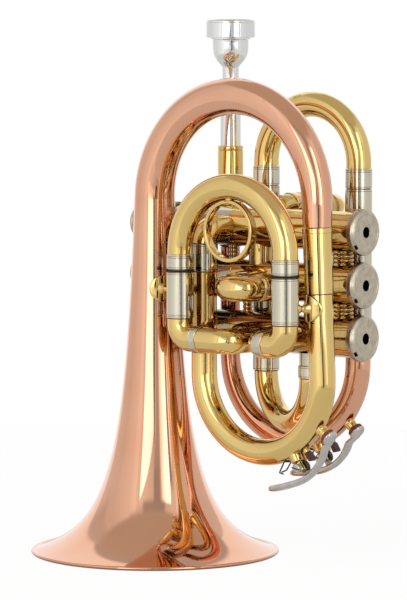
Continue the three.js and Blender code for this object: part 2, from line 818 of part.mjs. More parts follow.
// A slide's U: two inner legs, ferrules and a round bow. Legs start at start and run along direction.
function slideOutside(length, insert, ferrule) {
  const shoulder = seamGap;
  const leg = [
    [0, innerLegRadius],
    [insert, innerLegRadius],
    [insert + shoulder, sleeveRadius],
    [insert + shoulder + ferrule, sleeveRadius],
    [insert + 2 * shoulder + ferrule, slideCrookRadius],
  ];
  const back = leg.map(([d, r]) => [length - d, r]).reverse();
  return [...leg, ...back];
}

function makeSlide(name, corners, insert, ferrule, step = bowStep, sides = tubeSides) {
  const route = new Route(corners, step);
  const outside = slideOutside(route.length, insert, ferrule);
  piece(name, tube(route, outside, even(innerLegRadius - tubeWall), sides), lacqueredBrass);
}

// Third valve slide
const thirdRightX = thirdLeftX + thirdSpread;
const oRingSeat = 2 * oRingRadius + 2 * seamGap;

function makeThirdSlide() {
  const y = -thirdPlaneY;
  const bow = thirdSpread / 2;
  const startZ = thirdSleeveTopZ - thirdTravel - slideHold;
  const crownZ = thirdBowZ + bow;
  makeSlide('third_slide_crook', [
    { at: vec(thirdLeftX, y, startZ) },
    { at: vec(thirdLeftX, y, crownZ), bend: bow },
    { at: vec(thirdRightX, y, crownZ), bend: bow },
    { at: vec(thirdRightX, y, startZ) },
  ], thirdTravel + slideHold + oRingSeat, ferruleLength);
  const ringZ = thirdSleeveTopZ + seamGap + oRingRadius;
  const sides = [['left', thirdLeftX, thirdPortX], ['right', thirdRightX, thirdPortX + thirdPortSpread]];
  for (const [side, x, port] of sides) {
    const seal = ring(sleeveRadius + oRingRadius / 2, innerLegRadius + seamGap, -oRingRadius, oRingRadius,
      tubeSides);
    const sealMesh = piece(`third_slide_o_ring_${side}`, seal, blackRubber);
    sealMesh.position.set(x, y, ringZ);
    const sleeve = ring(sleeveRadius, sleeveRadius - sleeveWall, thirdSleeveLowZ, thirdSleeveTopZ, tubeSides);
    const sleeveMesh = piece(`third_slide_outer_${side}`, sleeve, nickelSilver);
    sleeveMesh.position.set(x, y, 0);
    const route = new Route([
      { at: vec(x, y, thirdSleeveLowZ - seamGap) },
      { at: vec(x, y, thirdTubeZ), bend: elbowRadius },
      { at: vec(port, y, thirdTubeZ), bend: elbowRadius },
      { at: vec(port, valvePlaneY, thirdTubeZ) },
    ], elbowStep);
    const bandStart = thirdSleeveLowZ - seamGap - thirdTubeZ - elbowRadius
      + (Math.PI / 2) * elbowRadius + seamGap;
    const bandEnd = bandStart + ferruleLength / 2;
    const outside = [
      [bandStart, slideCrookRadius],
      [bandStart + seamGap, sleeveRadius],
      [bandEnd - seamGap, sleeveRadius],
      [bandEnd, slideCrookRadius],
    ];
    const elbow = tube(route, outside, even(knuckleRadius - tubeWall), innerTubeSides);
    piece(`third_slide_elbow_${side}`, without(elbow, [casingSpace(3)]), lacqueredBrass);
  }
  const band = aimed(ring(fingerRingRadius, fingerRingRadius - fingerRingWall, -fingerRingWidth / 2,
    fingerRingWidth / 2), yAxis);
  const crownInside = bow - slideCrookRadius;
  const sink = Math.sqrt(crownInside ** 2 - (fingerRingX - (thirdLeftX + thirdRightX) / 2) ** 2);
  const ringMesh = piece('third_slide_finger_ring', band, lacqueredBrass);
  ringMesh.position.set(fingerRingX, y, thirdBowZ + sink - fingerRingRadius - seamGap);
}

// Second valve slide
function makeSecondSlide() {
  const [near, far] = [secondX - secondSpread / 2, secondX + secondSpread / 2];
  const bow = secondSpread / 2;
  const startY = secondSleeveY + secondTravel + shortFerruleLength * 2;
  const crownY = secondBowY - bow;
  makeSlide('second_slide_crook', [
    { at: vec(near, startY, secondZ) },
    { at: vec(near, crownY, secondZ), bend: bow },
    { at: vec(far, crownY, secondZ), bend: bow },
    { at: vec(far, startY, secondZ) },
  ], startY - secondSleeveY + seamGap, shortFerruleLength, elbowStep, innerTubeSides);
  for (const [side, x] of [['upper', near], ['lower', far]]) {
    const sleeve = aimed(ring(sleeveRadius, sleeveRadius - sleeveWall, secondSleeveY, valvePlaneY, tubeSides),
      yAxis, vec(x, 0, secondZ));
    piece(`second_slide_outer_${side}`, without(sleeve, [casingSpace(2)]), nickelSilver);
  }
}

// First valve slide
function makeFirstSlide() {
  const [near, far] = [firstX - firstSpread / 2, firstX + firstSpread / 2];
  const bow = firstSpread / 2;
  const firstSleeveY = valvePlaneY + firstSleeveReach + firstSleeveLength;
  const crownY = firstSleeveY + firstBowReach + bow;
  const startY = valvePlaneY + firstSleeveReach + shortFerruleLength;
  makeSlide('first_slide_crook', [
    { at: vec(near, startY, firstZ) },
    { at: vec(near, crownY, firstZ), bend: bow },
    { at: vec(far, crownY, firstZ), bend: bow },
    { at: vec(far, startY, firstZ) },
  ], firstSleeveY - startY + seamGap, shortFerruleLength, elbowStep, innerTubeSides);
  const climb = (firstZ - valveOneZ) / Math.sin(firstRise);
  const cornerY = valvePlaneY + climb * Math.cos(firstRise);
  for (const [side, x] of [['upper', near], ['lower', far]]) {
    const route = new Route([
      { at: vec(x, valvePlaneY, valveOneZ) },
      { at: vec(x, cornerY, firstZ), bend: elbowRadius },
      { at: vec(x, firstSleeveY, firstZ) },
    ], elbowStep);
    const outside = [
      [route.length - firstSleeveLength - seamGap, knuckleRadius],
      [route.length - firstSleeveLength, sleeveRadius],
    ];
    const bore = outside.map(([d]) => [d, sleeveRadius - sleeveWall]);
    bore[0][1] = knuckleRadius - tubeWall;
    const sleeve = tube(route, outside, bore, innerTubeSides);
    piece(`first_slide_outer_${side}`, without(sleeve, [casingSpace(1)]), nickelSilver);
  }
}

// Leadpipe, receiver and mouthpiece
const mouthpieceEndZ = receiverTopZ - mouthpieceInsert;

function makeLeadpipe() {
  const low = leadBowZ - keyBows[1].bow;
  const route = new Route([
    { at: vec(leadLeftX, leadPlaneY, leadTopZ - seamGap) },
    { at: vec(leadLeftX, leadPlaneY, low), bend: keyBows[1].bow },
    { at: vec(tuningRightX, leadPlaneY, low), bend: keyBows[1].bow },
    { at: vec(tuningRightX, leadPlaneY, leadRightTopZ) },
  ]);
  const outside = [
    [leadTopZ - leadBowZ, leadStartRadius],
    [route.length - (leadRightTopZ - leadBowZ) - keyBows[1].bow, leadEndRadius],
  ];
  const pipe = tube(route, outside, outside.map(([d, r]) => [d, r - tubeWall]), innerTubeSides);
  piece('leadpipe', withNipple(pipe, keyBows[1]), roseBrass);
  const seat = shankSeatRadius + slideGap;
  const end = shankEndRadius + slideGap;
  const receiver = turned([
    [leadStartRadius - tubeWall, leadTopZ],
    [leadStartRadius + tubeWall, leadTopZ],
    [receiverRadius, leadTopZ + 2 * receiverRadius],
    [receiverRadius, receiverTopZ - 4 * capEdge],
    [receiverRadius + seamGap, receiverTopZ - 3 * capEdge],
    [receiverRadius + seamGap, receiverTopZ - capEdge / 2],
    [receiverRadius, receiverTopZ],
    [seat, receiverTopZ],
    [end, mouthpieceEndZ - seamGap],
    [leadStartRadius - tubeWall, mouthpieceEndZ - receiverRadius],
    [leadStartRadius - tubeWall, leadTopZ],
  ], roundSides);
  const receiverMesh = piece('mouthpiece_receiver', receiver, lacqueredBrass);
  receiverMesh.position.set(leadLeftX, leadPlaneY, 0);
}

const cupShares = [[0.98, 0.56], [0.86, 0.76], [0.62, 0.93]];
const bowlShares = [[0.42, 0.93], [0.8, 0.56], [0.95, 0.28]];

function makeMouthpiece() {
  const rimLowZ = mouthpieceTopZ - rimLength;
  const cupLowZ = rimLowZ - cupLength;
  const edge = rimLength / 8;
  const throatTopZ = cupLowZ + cupLength / 2;
  const mouth = cupRadius - edge / 2;
  const outside = [
    [mouth, mouthpieceTopZ - edge],
    [mouth + edge, mouthpieceTopZ - edge / 5],
    [rimRadius - 2 * edge, mouthpieceTopZ],
    [rimRadius - edge / 2, mouthpieceTopZ - edge / 2],
    [rimRadius, mouthpieceTopZ - 2 * edge],
    [rimRadius, rimLowZ + edge],
    [rimRadius - edge / 2, rimLowZ],
    [cupRadius + edge, rimLowZ - edge / 3],
    [cupRadius, rimLowZ - 2 * edge],
    ...cupShares.map(([wide, deep]) => [cupRadius * wide, rimLowZ - cupLength * deep]),
    [shankNeckRadius, cupLowZ],
    [shankNeckRadius, cupLowZ - 2 * edge],
    [shankSeatRadius, receiverTopZ + receiverRadius],
    [shankSeatRadius, receiverTopZ],
    [shankEndRadius, mouthpieceEndZ],
  ];
  const inside = [
    [shankEndRadius - tubeWall, mouthpieceEndZ],
    [throatRadius, cupLowZ - cupLength / 2],
    [throatRadius, throatTopZ - edge],
    ...bowlShares.map(([wide, deep]) => [mouth * wide, mouthpieceTopZ - (mouthpieceTopZ - throatTopZ) * deep]),
  ];
  const mesh = piece('mouthpiece', turned([...outside, ...inside, outside[0]]), silverPlate);
  mesh.position.set(leadLeftX, leadPlaneY, 0);
}

// Main tuning slide
function makeTuningSlide() {
  const bow = (tuningRightX - tuningLeftX) / 2;
  const startZ = tuningSleeveTopZ - tuningTravel - slideHold;
  const crownZ = tuningBowZ + bow;
  makeSlide('tuning_slide_crook', [
    { at: vec(tuningLeftX, leadPlaneY, startZ) },
    { at: vec(tuningLeftX, leadPlaneY, crownZ), bend: bow },
    { at: vec(tuningRightX, leadPlaneY, crownZ), bend: bow },
    { at: vec(tuningRightX, leadPlaneY, startZ) },
  ], tuningTravel + slideHold + seamGap, tuningFerruleTopZ - tuningSleeveTopZ - 2 * seamGap);
  const ends = [['right', tuningRightX, leadRightTopZ + seamGap], ['left', tuningLeftX, lowerFerruleLowZ]];
  for (const [side, x, low] of ends) {
    const sleeve = ring(sleeveRadius, sleeveRadius - sleeveWall, low, tuningSleeveTopZ, tubeSides);
    const mesh = piece(`tuning_slide_outer_${side}`, sleeve, nickelSilver);
    mesh.position.set(x, leadPlaneY, 0);
  }
}

// Lower bow: leaves the tuning slide's left tube and rises in the valve plane under valve 3
function makeLowerBow() {
  const from = vec(tuningLeftX, leadPlaneY, 0);
  const to = vec(lowerPortX, valvePlaneY, 0);
  const bow = from.distanceTo(to) / 2;
  const low = lowerBowZ - bow;
  const top = lowerFerruleLowZ - seamGap;
  const route = new Route([
    { at: from.clone().setZ(top) },
    { at: from.clone().setZ(low), bend: bow },
    { at: to.clone().setZ(low), bend: bow },
    { at: to.clone().setZ(top) },
  ]);
  piece('lower_bow', tube(route, even(lowerTubeRadius), even(lowerTubeRadius - tubeWall), innerTubeSides),
    lacqueredBrass);
  const ferrule = turned([
    [lowerTubeRadius - tubeWall, lowerFerruleLowZ],
    [sleeveRadius, lowerFerruleLowZ],
    [sleeveRadius, lowerFerruleTopZ - seamGap],
    [lowerTubeRadius, lowerFerruleTopZ],
    [lowerTubeRadius, valveZ(3)],
    [lowerTubeRadius - tubeWall, valveZ(3)],
    [lowerTubeRadius - tubeWall, lowerFerruleLowZ],
  ], tubeSides);
  ferrule.translate(lowerPortX, valvePlaneY, 0);
  piece('lower_bow_ferrule', without(ferrule, [casingSpace(3)]), nickelSilver);
}

const ballShares = [0.25, 0.5, 0.75];

// A brace of a round flange, a post and a ball, about +Z from 0 to length
function braceShape(length, flangeAt) {
  const post = [
    [0, -flangeAt],
    [flangeRadius, -flangeAt],
    [flangeRadius, flangeThickness],
    [bracePostRadius * 3 / 2, flangeThickness * 2],
    [bracePostRadius, flangeThickness * 3],
  ];
  const ballZ = Math.max(length - braceBallRadius, flangeThickness * 3 + braceBallRadius);
  const ball = ballShares.map((share) => {
    const turn = Math.PI * share;
    return [braceBallRadius * Math.sin(turn), ballZ - braceBallRadius * Math.cos(turn)];
  });
  return turned([...post, ...ball, [bracePostRadius, length], [bracePostRadius, length + braceBallRadius * 2],
    [0, length + braceBallRadius * 2]], smallSides);
}

// The branch's right leg, grown by the seam gap, near a place on it
const legSpace = (place, radius) => aimed(
  rod(radius + seamGap, -branchBowRadius, branchBowRadius, tubeSides),
  vec(legX(0) - legX(1), 0, -1), place);

const sleeveSpace = (x, y, low, high) =>
  aimed(rod(sleeveRadius + seamGap, low, high, tubeSides), zAxis, vec(x, y, 0));

function makeBraces() {
  const y = -thirdPlaneY;
  const leftTube = vec(thirdLeftX, y, bellBraceZ);
  const reach = Math.hypot(thirdLeftX, y);
  const bellSide = bellRadius(bellBraceZ);
  const bellBrace = aimed(braceShape(reach - bellSide - sleeveRadius, 2 * flangeThickness),
    leftTube.clone().setZ(0), leftTube.clone().setZ(0).multiplyScalar(bellSide / reach).setZ(bellBraceZ));
  piece('brace_bell_to_third_slide', without(bellBrace,
    [bellSpace(), sleeveSpace(thirdLeftX, y, thirdSleeveLowZ, thirdSleeveTopZ)]), lacqueredBrass);

  const leg = vec(legX(branchBraceZ), 0, branchBraceZ);
  const rightTube = vec(thirdRightX, y, branchBraceZ);
  const run = rightTube.clone().sub(leg);
  const legBrace = aimed(braceShape(run.length() - branchSeamRadius - sleeveRadius, 2 * flangeThickness),
    run, leg.clone().addScaledVector(run.clone().normalize(), branchSeamRadius));
  piece('brace_branch_to_third_slide', without(legBrace,
    [legSpace(leg, branchSeamRadius), sleeveSpace(thirdRightX, y, thirdSleeveLowZ, thirdSleeveTopZ)]), lacqueredBrass);

  const seatZ = valveOneZ;
  const from = vec(valveBraceX, valvePlaneY, seatZ);
  const to = vec(legX(seatZ), 0, seatZ);
  const across = to.clone().sub(from);
  const start = from.clone().addScaledVector(across.clone().normalize(), casingRadius);
  const end = across.length() - casingRadius;
  const ballBrace = turned([
    [0, -casingRadius / 2],
    [smallBallRadius, -casingRadius / 2],
    [smallBallRadius, smallPostRadius],
    [smallPostRadius, smallBallRadius],
    [smallBallRadius, 2 * smallBallRadius],
    [smallPostRadius, 3 * smallBallRadius],
    [smallPostRadius, end],
    [0, end],
  ], smallSides);
  piece('brace_branch_to_valve', without(aimed(ballBrace, across, start),
    [casingSpace(1), legSpace(to, branchStartRadius)]), lacqueredBrass);
}

// Water keys. The lever's middle line crosses the cup at shares of the cork's radius, then goes
// through shares of the way to the cup (below 0) or of the reach, each at a share of the bridge height
const cupSpanShares = [-0.6, 0.9];
const bladeShares = [[-0.4, 0.82], [0, 1], [0.5, 1.1], [1, 0.9]];

function makeWaterKey(bow) {
  const angle = keyPivotAngle + bow.turn;
  const pivot = onBow(bow, angle, keyPivotHeight);
  const frame = new THREE.Group();
  frame.position.copy(pivot);
  // local +Z points away from the bow and local +X along it, towards the finger tip
  frame.rotation.y = Math.PI / 2 + angle;
  trumpet.add(frame);
  const rideRadius = bow.bow + bow.tube + keyPivotHeight;
  const sweep = keyPivotAngle - keyCupAngle;
  const cupTop = nippleHeight + seamGap + corkThickness + cupWall;
  const cupRide = bow.bow + bow.tube + cupTop;
  const towardCup = vec(-Math.sin(sweep), 0, Math.cos(sweep));
  const local = (radius, angle) => vec(-radius * Math.sin(angle), 0, radius * Math.cos(angle) - rideRadius);
  const cupSeat = local(cupRide, sweep);
  const cup = solid(aimed(rod(corkRadius + cupWall + seamGap, -cupWall - cupSkirt, 0), towardCup, cupSeat));
  const hollow = solid(aimed(rod(corkRadius + seamGap, -cupWall - cupSkirt - cutOverrun, -cupWall),
    towardCup, cupSeat));
  const along = vec(Math.cos(sweep), 0, Math.sin(sweep));
  const onCup = cupSpanShares.map((share) => cupSeat.clone().addScaledVector(along, corkRadius * share)
    .addScaledVector(towardCup, bladeThickness / 3));
  const bridge = barrelRadius + bladeThickness / 6;
  const spine = new THREE.SplineCurve([
    ...onCup,
    ...bladeShares.map(([far, high]) => vec(far < 0 ? -far * cupSeat.x : far * keyReach, 0, high * bridge)),
  ].map((spot) => new THREE.Vector2(spot.x, spot.z)));
  const edges = [1, -1].map((way) => Array.from({ length: bladeSteps + 1 }, (_, step) => {
    const heading = spine.getTangent(step / bladeSteps);
    const across = new THREE.Vector2(-heading.y, heading.x).multiplyScalar((way * bladeThickness) / 2);
    return spine.getPoint(step / bladeSteps).add(across);
  }));
  const blade = new THREE.Shape([...edges[0], ...edges[1].reverse()]);
  const strip = new THREE.ExtrudeGeometry(blade, { depth: bladeWidth, bevelEnabled: false });
  strip.rotateX(Math.PI / 2);
  strip.translate(0, bladeWidth / 2, 0);
  const barrel = aimed(rod(barrelRadius, -barrelWidth / 2, barrelWidth / 2), yAxis);
  const eye = aimed(rod(screwRadius + slideGap, -barrelWidth, barrelWidth), yAxis);
  const lever = cup.subtract(hollow).add(solid(closed(strip)).subtract(hollow)).add(solid(barrel))
    .subtract(solid(eye));
  piece(`water_key_lever_${bow.number}`, shell(lever), silverPlate, frame);

  const corkTop = local(cupRide - cupWall - seamGap, sweep);
  const cork = aimed(rod(corkRadius, seamGap - corkThickness, 0), towardCup, corkTop);
  piece(`water_key_cork_${bow.number}`, cork, brownCork, frame);

  const postY = barrelWidth / 2 + seamGap;
  const halfWidth = postY + postThickness;
  const floor = -keyPivotHeight;
  const base = new THREE.BoxGeometry(postWidth * 2, 2 * halfWidth, saddleThickness + bow.tube);
  base.translate(0, 0, floor + saddleThickness - (saddleThickness + bow.tube) / 2);
  const posts = [-1, 1].map((way) => {
    const post = new THREE.BoxGeometry(postWidth, postThickness, keyPivotHeight);
    post.translate(0, way * (postY + postThickness / 2), -keyPivotHeight / 2);
    return solid(closed(post));
  });
  const eyes = [-1, 1].map((way) => solid(aimed(
    rod(postWidth / 2, way * postY, way * halfWidth), yAxis)));
  const screw = solid(aimed(rod(screwRadius, -halfWidth, halfWidth), yAxis));
  const head = solid(aimed(rod(screwHeadRadius, -halfWidth - screwRadius, -postY), yAxis));
  const bowSpace = new Route([
    { at: local(bow.bow, saddleReach) },
    { at: local(bow.bow / Math.cos(saddleReach), 0), bend: bow.bow },
    { at: local(bow.bow, -saddleReach) },
  ], bowStep / 4);
  const filled = tube(bowSpace, even(bow.tube + seamGap));
  const saddle = solid(closed(base)).add(posts[0]).add(posts[1]).add(eyes[0]).add(eyes[1]).add(screw)
    .add(head).subtract(solid(filled));
  piece(`water_key_saddle_${bow.number}`, shell(saddle), lacqueredBrass, frame);
}

makeBell();
makeBellBow();
makeBranchUpper();
makeBranchBow();
makeBranchEnd();
makeValves();
makeCasingLinks();
makeThirdSlide();
makeSecondSlide();
makeFirstSlide();
makeLeadpipe();
makeMouthpiece();
makeTuningSlide();
makeLowerBow();
makeBraces();
keyBows.forEach(makeWaterKey);

// The finished trumpet stands with the middle of its footprint box at the origin
trumpet.updateMatrixWorld(true);
const box = new THREE.Box3().setFromObject(trumpet, true);
trumpet.position.set(-(box.min.x + box.max.x) / 2, -(box.min.y + box.max.y) / 2, -box.min.z);

export default trumpet;
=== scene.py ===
"""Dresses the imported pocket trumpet: smooth metalwork, water keys, fittings, studio and camera.

Sizes are in millimetres in the maker's frame, in which the bell's axis is X = 0, Y = 0, the bell
stands on Z = 0 and +X runs along the valves to their bottom caps. The Bench turns them to metres
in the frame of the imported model.
"""

import logging
import math
from dataclasses import dataclass
from enum import Enum
from typing import Callable, Iterable, Sequence

import bmesh
import bpy
from mathutils import Matrix, Vector


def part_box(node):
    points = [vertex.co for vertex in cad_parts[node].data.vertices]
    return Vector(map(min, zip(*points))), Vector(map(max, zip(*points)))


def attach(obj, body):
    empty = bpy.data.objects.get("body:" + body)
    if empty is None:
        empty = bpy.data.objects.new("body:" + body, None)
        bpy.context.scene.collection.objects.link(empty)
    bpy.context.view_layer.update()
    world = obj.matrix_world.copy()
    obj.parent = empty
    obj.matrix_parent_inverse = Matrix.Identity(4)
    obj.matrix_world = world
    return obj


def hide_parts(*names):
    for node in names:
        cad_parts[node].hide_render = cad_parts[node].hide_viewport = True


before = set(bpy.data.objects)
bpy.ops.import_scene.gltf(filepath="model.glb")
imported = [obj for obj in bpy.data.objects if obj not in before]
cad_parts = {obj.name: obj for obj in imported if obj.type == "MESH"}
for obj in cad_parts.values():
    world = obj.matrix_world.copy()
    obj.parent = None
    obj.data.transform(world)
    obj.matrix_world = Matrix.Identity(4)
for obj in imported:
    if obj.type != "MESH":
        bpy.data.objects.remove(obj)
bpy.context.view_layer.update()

LOG = logging.getLogger("pocket_trumpet")

MM = 0.001
FULL_TURN = 2 * math.pi
MERGE = 1e-4
WHITE = (1, 1, 1, 1)
LEAST_CORNER = math.radians(18)
MOST_OF_A_SIDE = 0.45
X_AXIS = Vector((1.0, 0.0, 0.0))
Y_AXIS = Vector((0.0, 1.0, 0.0))
Z_AXIS = Vector((0.0, 0.0, 1.0))

Mesh = bmesh.types.BMesh
Tree = bpy.types.NodeTree
Socket = bpy.types.NodeSocket
Pairs = list[tuple[float, float]]


class Body(str, Enum):
    """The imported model's bodies that pieces ride on."""

    ROOT = "root"
    THIRD_SLIDE = "third_slide"
    SECOND_SLIDE = "second_slide"
    FIRST_SLIDE = "first_slide"
    TUNING_SLIDE = "tuning_slide"
    MOUTHPIECE = "mouthpiece_body"
    PISTON_1 = "piston_body_1"
    PISTON_2 = "piston_body_2"
    PISTON_3 = "piston_body_3"
    KEY_1 = "water_key_1"
    KEY_2 = "water_key_2"


class Slot(str, Enum):
    """The record's material slots."""

    ROSE = "rose_brass"
    BRASS = "lacquered_brass"
    NICKEL = "nickel_silver"
    SATIN = "satin_nickel"
    SILVER = "silver_plate"
    SPRING = "spring_steel"
    RUBBER = "seal_rubber"
    CORK = "cork"


def linear(code: str) -> tuple[float, float, float, float]:
    """Turns an sRGB hex colour to linear light.

    Args:
        code: Six hex digits.

    Returns:
        Red, green, blue and an alpha of 1.
    """
    values = [int(code[i : i + 2], 16) / 255 for i in (0, 2, 4)]
    lit = [v / 12.92 if v <= 0.04045 else ((v + 0.055) / 1.055) ** 2.4 for v in values]
    return (lit[0], lit[1], lit[2], 1.0)


def emptied(holder: bpy.types.Material | bpy.types.World) -> Tree:
    """Turns on the nodes of a material or a world.

    Args:
        holder: The material or world.

    Returns:
        Its tree, empty.
    """
    holder.use_nodes = True
    holder.node_tree.nodes.clear()
    return holder.node_tree


def add_node(tree: Tree, kind: str, links: dict | None = None, **settings) -> bpy.types.Node:
    """Adds one shader node with its settings and incoming links.

    Args:
        tree: The node tree that gets it.
        kind: The node's type name, without the leading ShaderNode.
        links: Input name or number mapped to a plain value or to an output socket.
        **settings: Attributes of the node.

    Returns:
        The new node.
    """
    node = tree.nodes.new(f"ShaderNode{kind}")
    for name, value in settings.items():
        setattr(node, name, value)
    for name, value in (links or {}).items():
        socket = node.inputs[name]
        if isinstance(value, Socket):
            tree.links.new(value, socket)
        else:
            socket.default_value = value
    return node


def maths(tree: Tree, operation: str, *values: Socket | float) -> Socket:
    """Adds a maths node and gives its result."""
    return add_node(tree, "Math", dict(enumerate(values)), operation=operation).outputs[0]


def mapped(
    tree: Tree, value: Socket, start: tuple[float, float], goal: tuple[float, float], **settings
) -> Socket:
    """Adds a node that maps one range of a value to another.

    Args:
        tree: The node tree that gets it.
        value: The value.
        start: The range that is mapped.
        goal: What its ends turn to.
        **settings: Attributes of the node.

    Returns:
        The mapped value.
    """
    links = {"Value": value, "From Min": start[0], "From Max": start[1], "To Min": goal[0], "To Max": goal[1]}
    return add_node(tree, "MapRange", links, **settings).outputs["Result"]


def mixed(tree: Tree, share: Socket, first: object, second: object, kind: str = "RGBA") -> Socket:
    """Adds a node that goes from one value or colour to another.

    Args:
        tree: The node tree that gets it.
        share: 0 for the first, 1 for the second.
        first: The first value or socket.
        second: The second value or socket.
        kind: RGBA or FLOAT.

    Returns:
        The mixed value.
    """
    links = {"Factor": share, "A": first, "B": second}
    return add_node(tree, "Mix", links, data_type=kind).outputs["Result"]


@dataclass(frozen=True)
class Coating:
    """What every finish has: a name, its slot in the record and two colours that mix."""

    name: str
    slot: Slot
    colour: str
    other_colour: str

    def inputs(self, tree: Tree, spot: Socket) -> dict:
        """Gives the Principled shader's inputs, for a place on the surface."""
        raise NotImplementedError

    def noise(self, tree: Tree, spot: Socket, size_mm: float, detail: float, rough: float) -> Socket:
        """Adds a noise whose grains have a real size, and gives its value."""
        links = {"Vector": spot, "Scale": 1 / (size_mm * MM), "Detail": detail, "Roughness": rough}
        return add_node(tree, "TexNoise", links).outputs["Fac"]

    def tone(self, tree: Tree, pattern: Socket, start: float, end: float) -> Socket:
        """Mixes the two colours by a pattern.

        Args:
            tree: The material's nodes.
            pattern: The pattern.
            start: Where the first colour ends.
            end: Where the other colour starts.

        Returns:
            The colour.
        """
        ramp = add_node(tree, "ValToRGB", {"Fac": pattern})
        codes = (self.colour, self.other_colour)
        for stop, place, code in zip(ramp.color_ramp.elements, (start, end), codes):
            stop.position = place
            stop.color = linear(code)
        return ramp.outputs["Color"]

    def relief(self, tree: Tree, pattern: Socket, depth_mm: float) -> Socket:
        """Gives the surface's direction where a pattern stands out by a real depth."""
        links = {"Height": pattern, "Strength": 1.0, "Distance": depth_mm * MM}
        return add_node(tree, "Bump", links).outputs["Normal"]

    def make(self) -> bpy.types.Material:
        """Builds the node material.

        Returns:
            The material.
        """
        material = bpy.data.materials.new(self.name)
        tree = emptied(material)
        spot = add_node(tree, "TexCoord").outputs["Object"]
        shader = add_node(tree, "BsdfPrincipled", self.inputs(tree, spot))
        add_node(tree, "OutputMaterial", {"Surface": shader.outputs["BSDF"]})
        return material


@dataclass(frozen=True)
class Metal(Coating):
    """A metal finish: a base colour that drifts a little, a roughness range and a fine grain.

    Grain and drift are sizes in millimetres on the real surface. The recess shade is painted shade:
    a darker colour that ambient occlusion mixes into the base colour in recesses narrower than the shade
    reach.
    """

    smooth: float
    rough: float
    # the painted shade colour for recesses, and how far ambient occlusion looks for neighbouring parts
    recess_shade: str = "6E6258"
    shade_reach_mm: float = 34.0
    drift_mm: float = 30.0
    grain_mm: float = 0.5
    grain_height_mm: float = 0.0004
    coat: float = 0.0
    coat_rough: float = 0.03

    def inputs(self, tree: Tree, spot: Socket) -> dict:
        """Gives the Principled shader's inputs.

        Args:
            tree: The material's nodes.
            spot: A place on the surface.

        Returns:
            Input names mapped to values or sockets.
        """
        drift = self.noise(tree, spot, self.drift_mm, detail=2.0, rough=0.5)
        grain = self.noise(tree, spot, self.grain_mm, detail=3.0, rough=0.6)
        tone = self.tone(tree, drift, start=0.35, end=0.75)
        # painted shade: ambient occlusion mixes the recess shade colour into the base colour where other
        # parts crowd in
        recess = add_node(tree, "AmbientOcclusion", {"Distance": self.shade_reach_mm * MM}, samples=4)
        shade_share = mapped(tree, recess.outputs["AO"], start=(0.15, 0.7), goal=(1.0, 0.0))
        return {
            "Base Color": mixed(tree, shade_share, tone, linear(self.recess_shade)),
            "Metallic": 1.0,
            "Roughness": mapped(tree, drift, start=(0.3, 0.7), goal=(self.smooth, self.rough)),
            "Coat Weight": self.coat,
            "Coat Roughness": self.coat_rough,
            "Normal": self.relief(tree, grain, self.grain_height_mm),
        }


@dataclass(frozen=True)
class Matt(Coating):
    """A non-metal finish: two mixed colours in flecks of a real size, with a fine relief."""

    rough: float
    fleck_mm: float
    relief_mm: float

    def inputs(self, tree: Tree, spot: Socket) -> dict:
        """Gives the Principled shader's inputs.

        Args:
            tree: The material's nodes.
            spot: A place on the surface.

        Returns:
            Input names mapped to values or sockets.
        """
        fleck = self.noise(tree, spot, self.fleck_mm, detail=4.0, rough=0.65)
        return {
            "Base Color": self.tone(tree, fleck, start=0.4, end=0.65),
            "Metallic": 0.0,
            "Roughness": self.rough,
            "Normal": self.relief(tree, fleck, self.relief_mm),
        }


class Finish(Enum):
    """Every finish on the trumpet, each with what it is and how its surface was made."""

    # a metal's third colour, where given, is the painted shade that its recesses get; the others keep the
    # default
    # copper-rich brass sheet, buffed to a mirror under a thin clear lacquer: pink, sharp reflections
    ROSE_BRASS = Metal("buffed_rose_brass", Slot.ROSE, "EEB594", "E9AC8A", 0.035, 0.07, "8E4A2C", coat=0.35)
    # 70/30 brass tube, buffed and lacquered: yellow gold with sharp reflections
    YELLOW_BRASS = Metal("lacquered_yellow_brass", Slot.BRASS, "EECE85", "E9C77B", 0.035, 0.07, "946226",
                         coat=0.35)
    # drawn nickel silver tube, buffed: neutral grey-white, a shade softer than the brass
    NICKEL_SILVER = Metal("buffed_nickel_silver", Slot.NICKEL, "DBD4BF", "D3CBB5", 0.06, 0.1, "7E6E58")
    # cast caps, blasted and nickel plated: a warm grey with no clear reflections
    SATIN_NICKEL = Metal("satin_nickel_plate", Slot.SATIN, "D0C5B2", "BAAE9A", 0.26, 0.34, drift_mm=3.0,
                         grain_mm=0.35, grain_height_mm=0.006)
    # turned brass, buffed and silver plated: the brightest metal here, almost white
    SILVER = Metal("silver_plate", Slot.SILVER, "F2F2F0", "E8E9E8", 0.03, 0.05)
    # forged nickel silver levers, tumbled: grey with a soft sheen
    TUMBLED_SILVER = Metal("tumbled_nickel_silver", Slot.SILVER, "CFCBC6", "BDB8B4", 0.14, 0.22, drift_mm=4.0)
    # blued spring wire: dark with a narrow sheen
    SPRING_STEEL = Metal("blued_spring_wire", Slot.SPRING, "4A4C50", "3C3D42", 0.2, 0.3, drift_mm=6.0)
    # moulded rubber ring: black and nearly dull
    RUBBER = Matt("moulded_black_rubber", Slot.RUBBER, "060606", "0B0B0B", 0.75, 0.3, 0.01)
    # ground cork: brown granules
    CORK = Matt("ground_cork", Slot.CORK, "7E3E26", "5A2616", 0.85, 0.9, 0.08)
    # moulded synthetic stop block: dark maroon, smooth
    STOP_BLOCK = Matt("moulded_maroon_stop", Slot.RUBBER, "4A1616", "3A1010", 0.35, 0.8, 0.01)

    def material(self) -> bpy.types.Material:
        """Gives the finish's material, which is made on its first use."""
        return bpy.data.materials.get(self.value.name) or self.value.make()


BRASS_AND_NICKEL = (Finish.YELLOW_BRASS, Finish.NICKEL_SILVER)


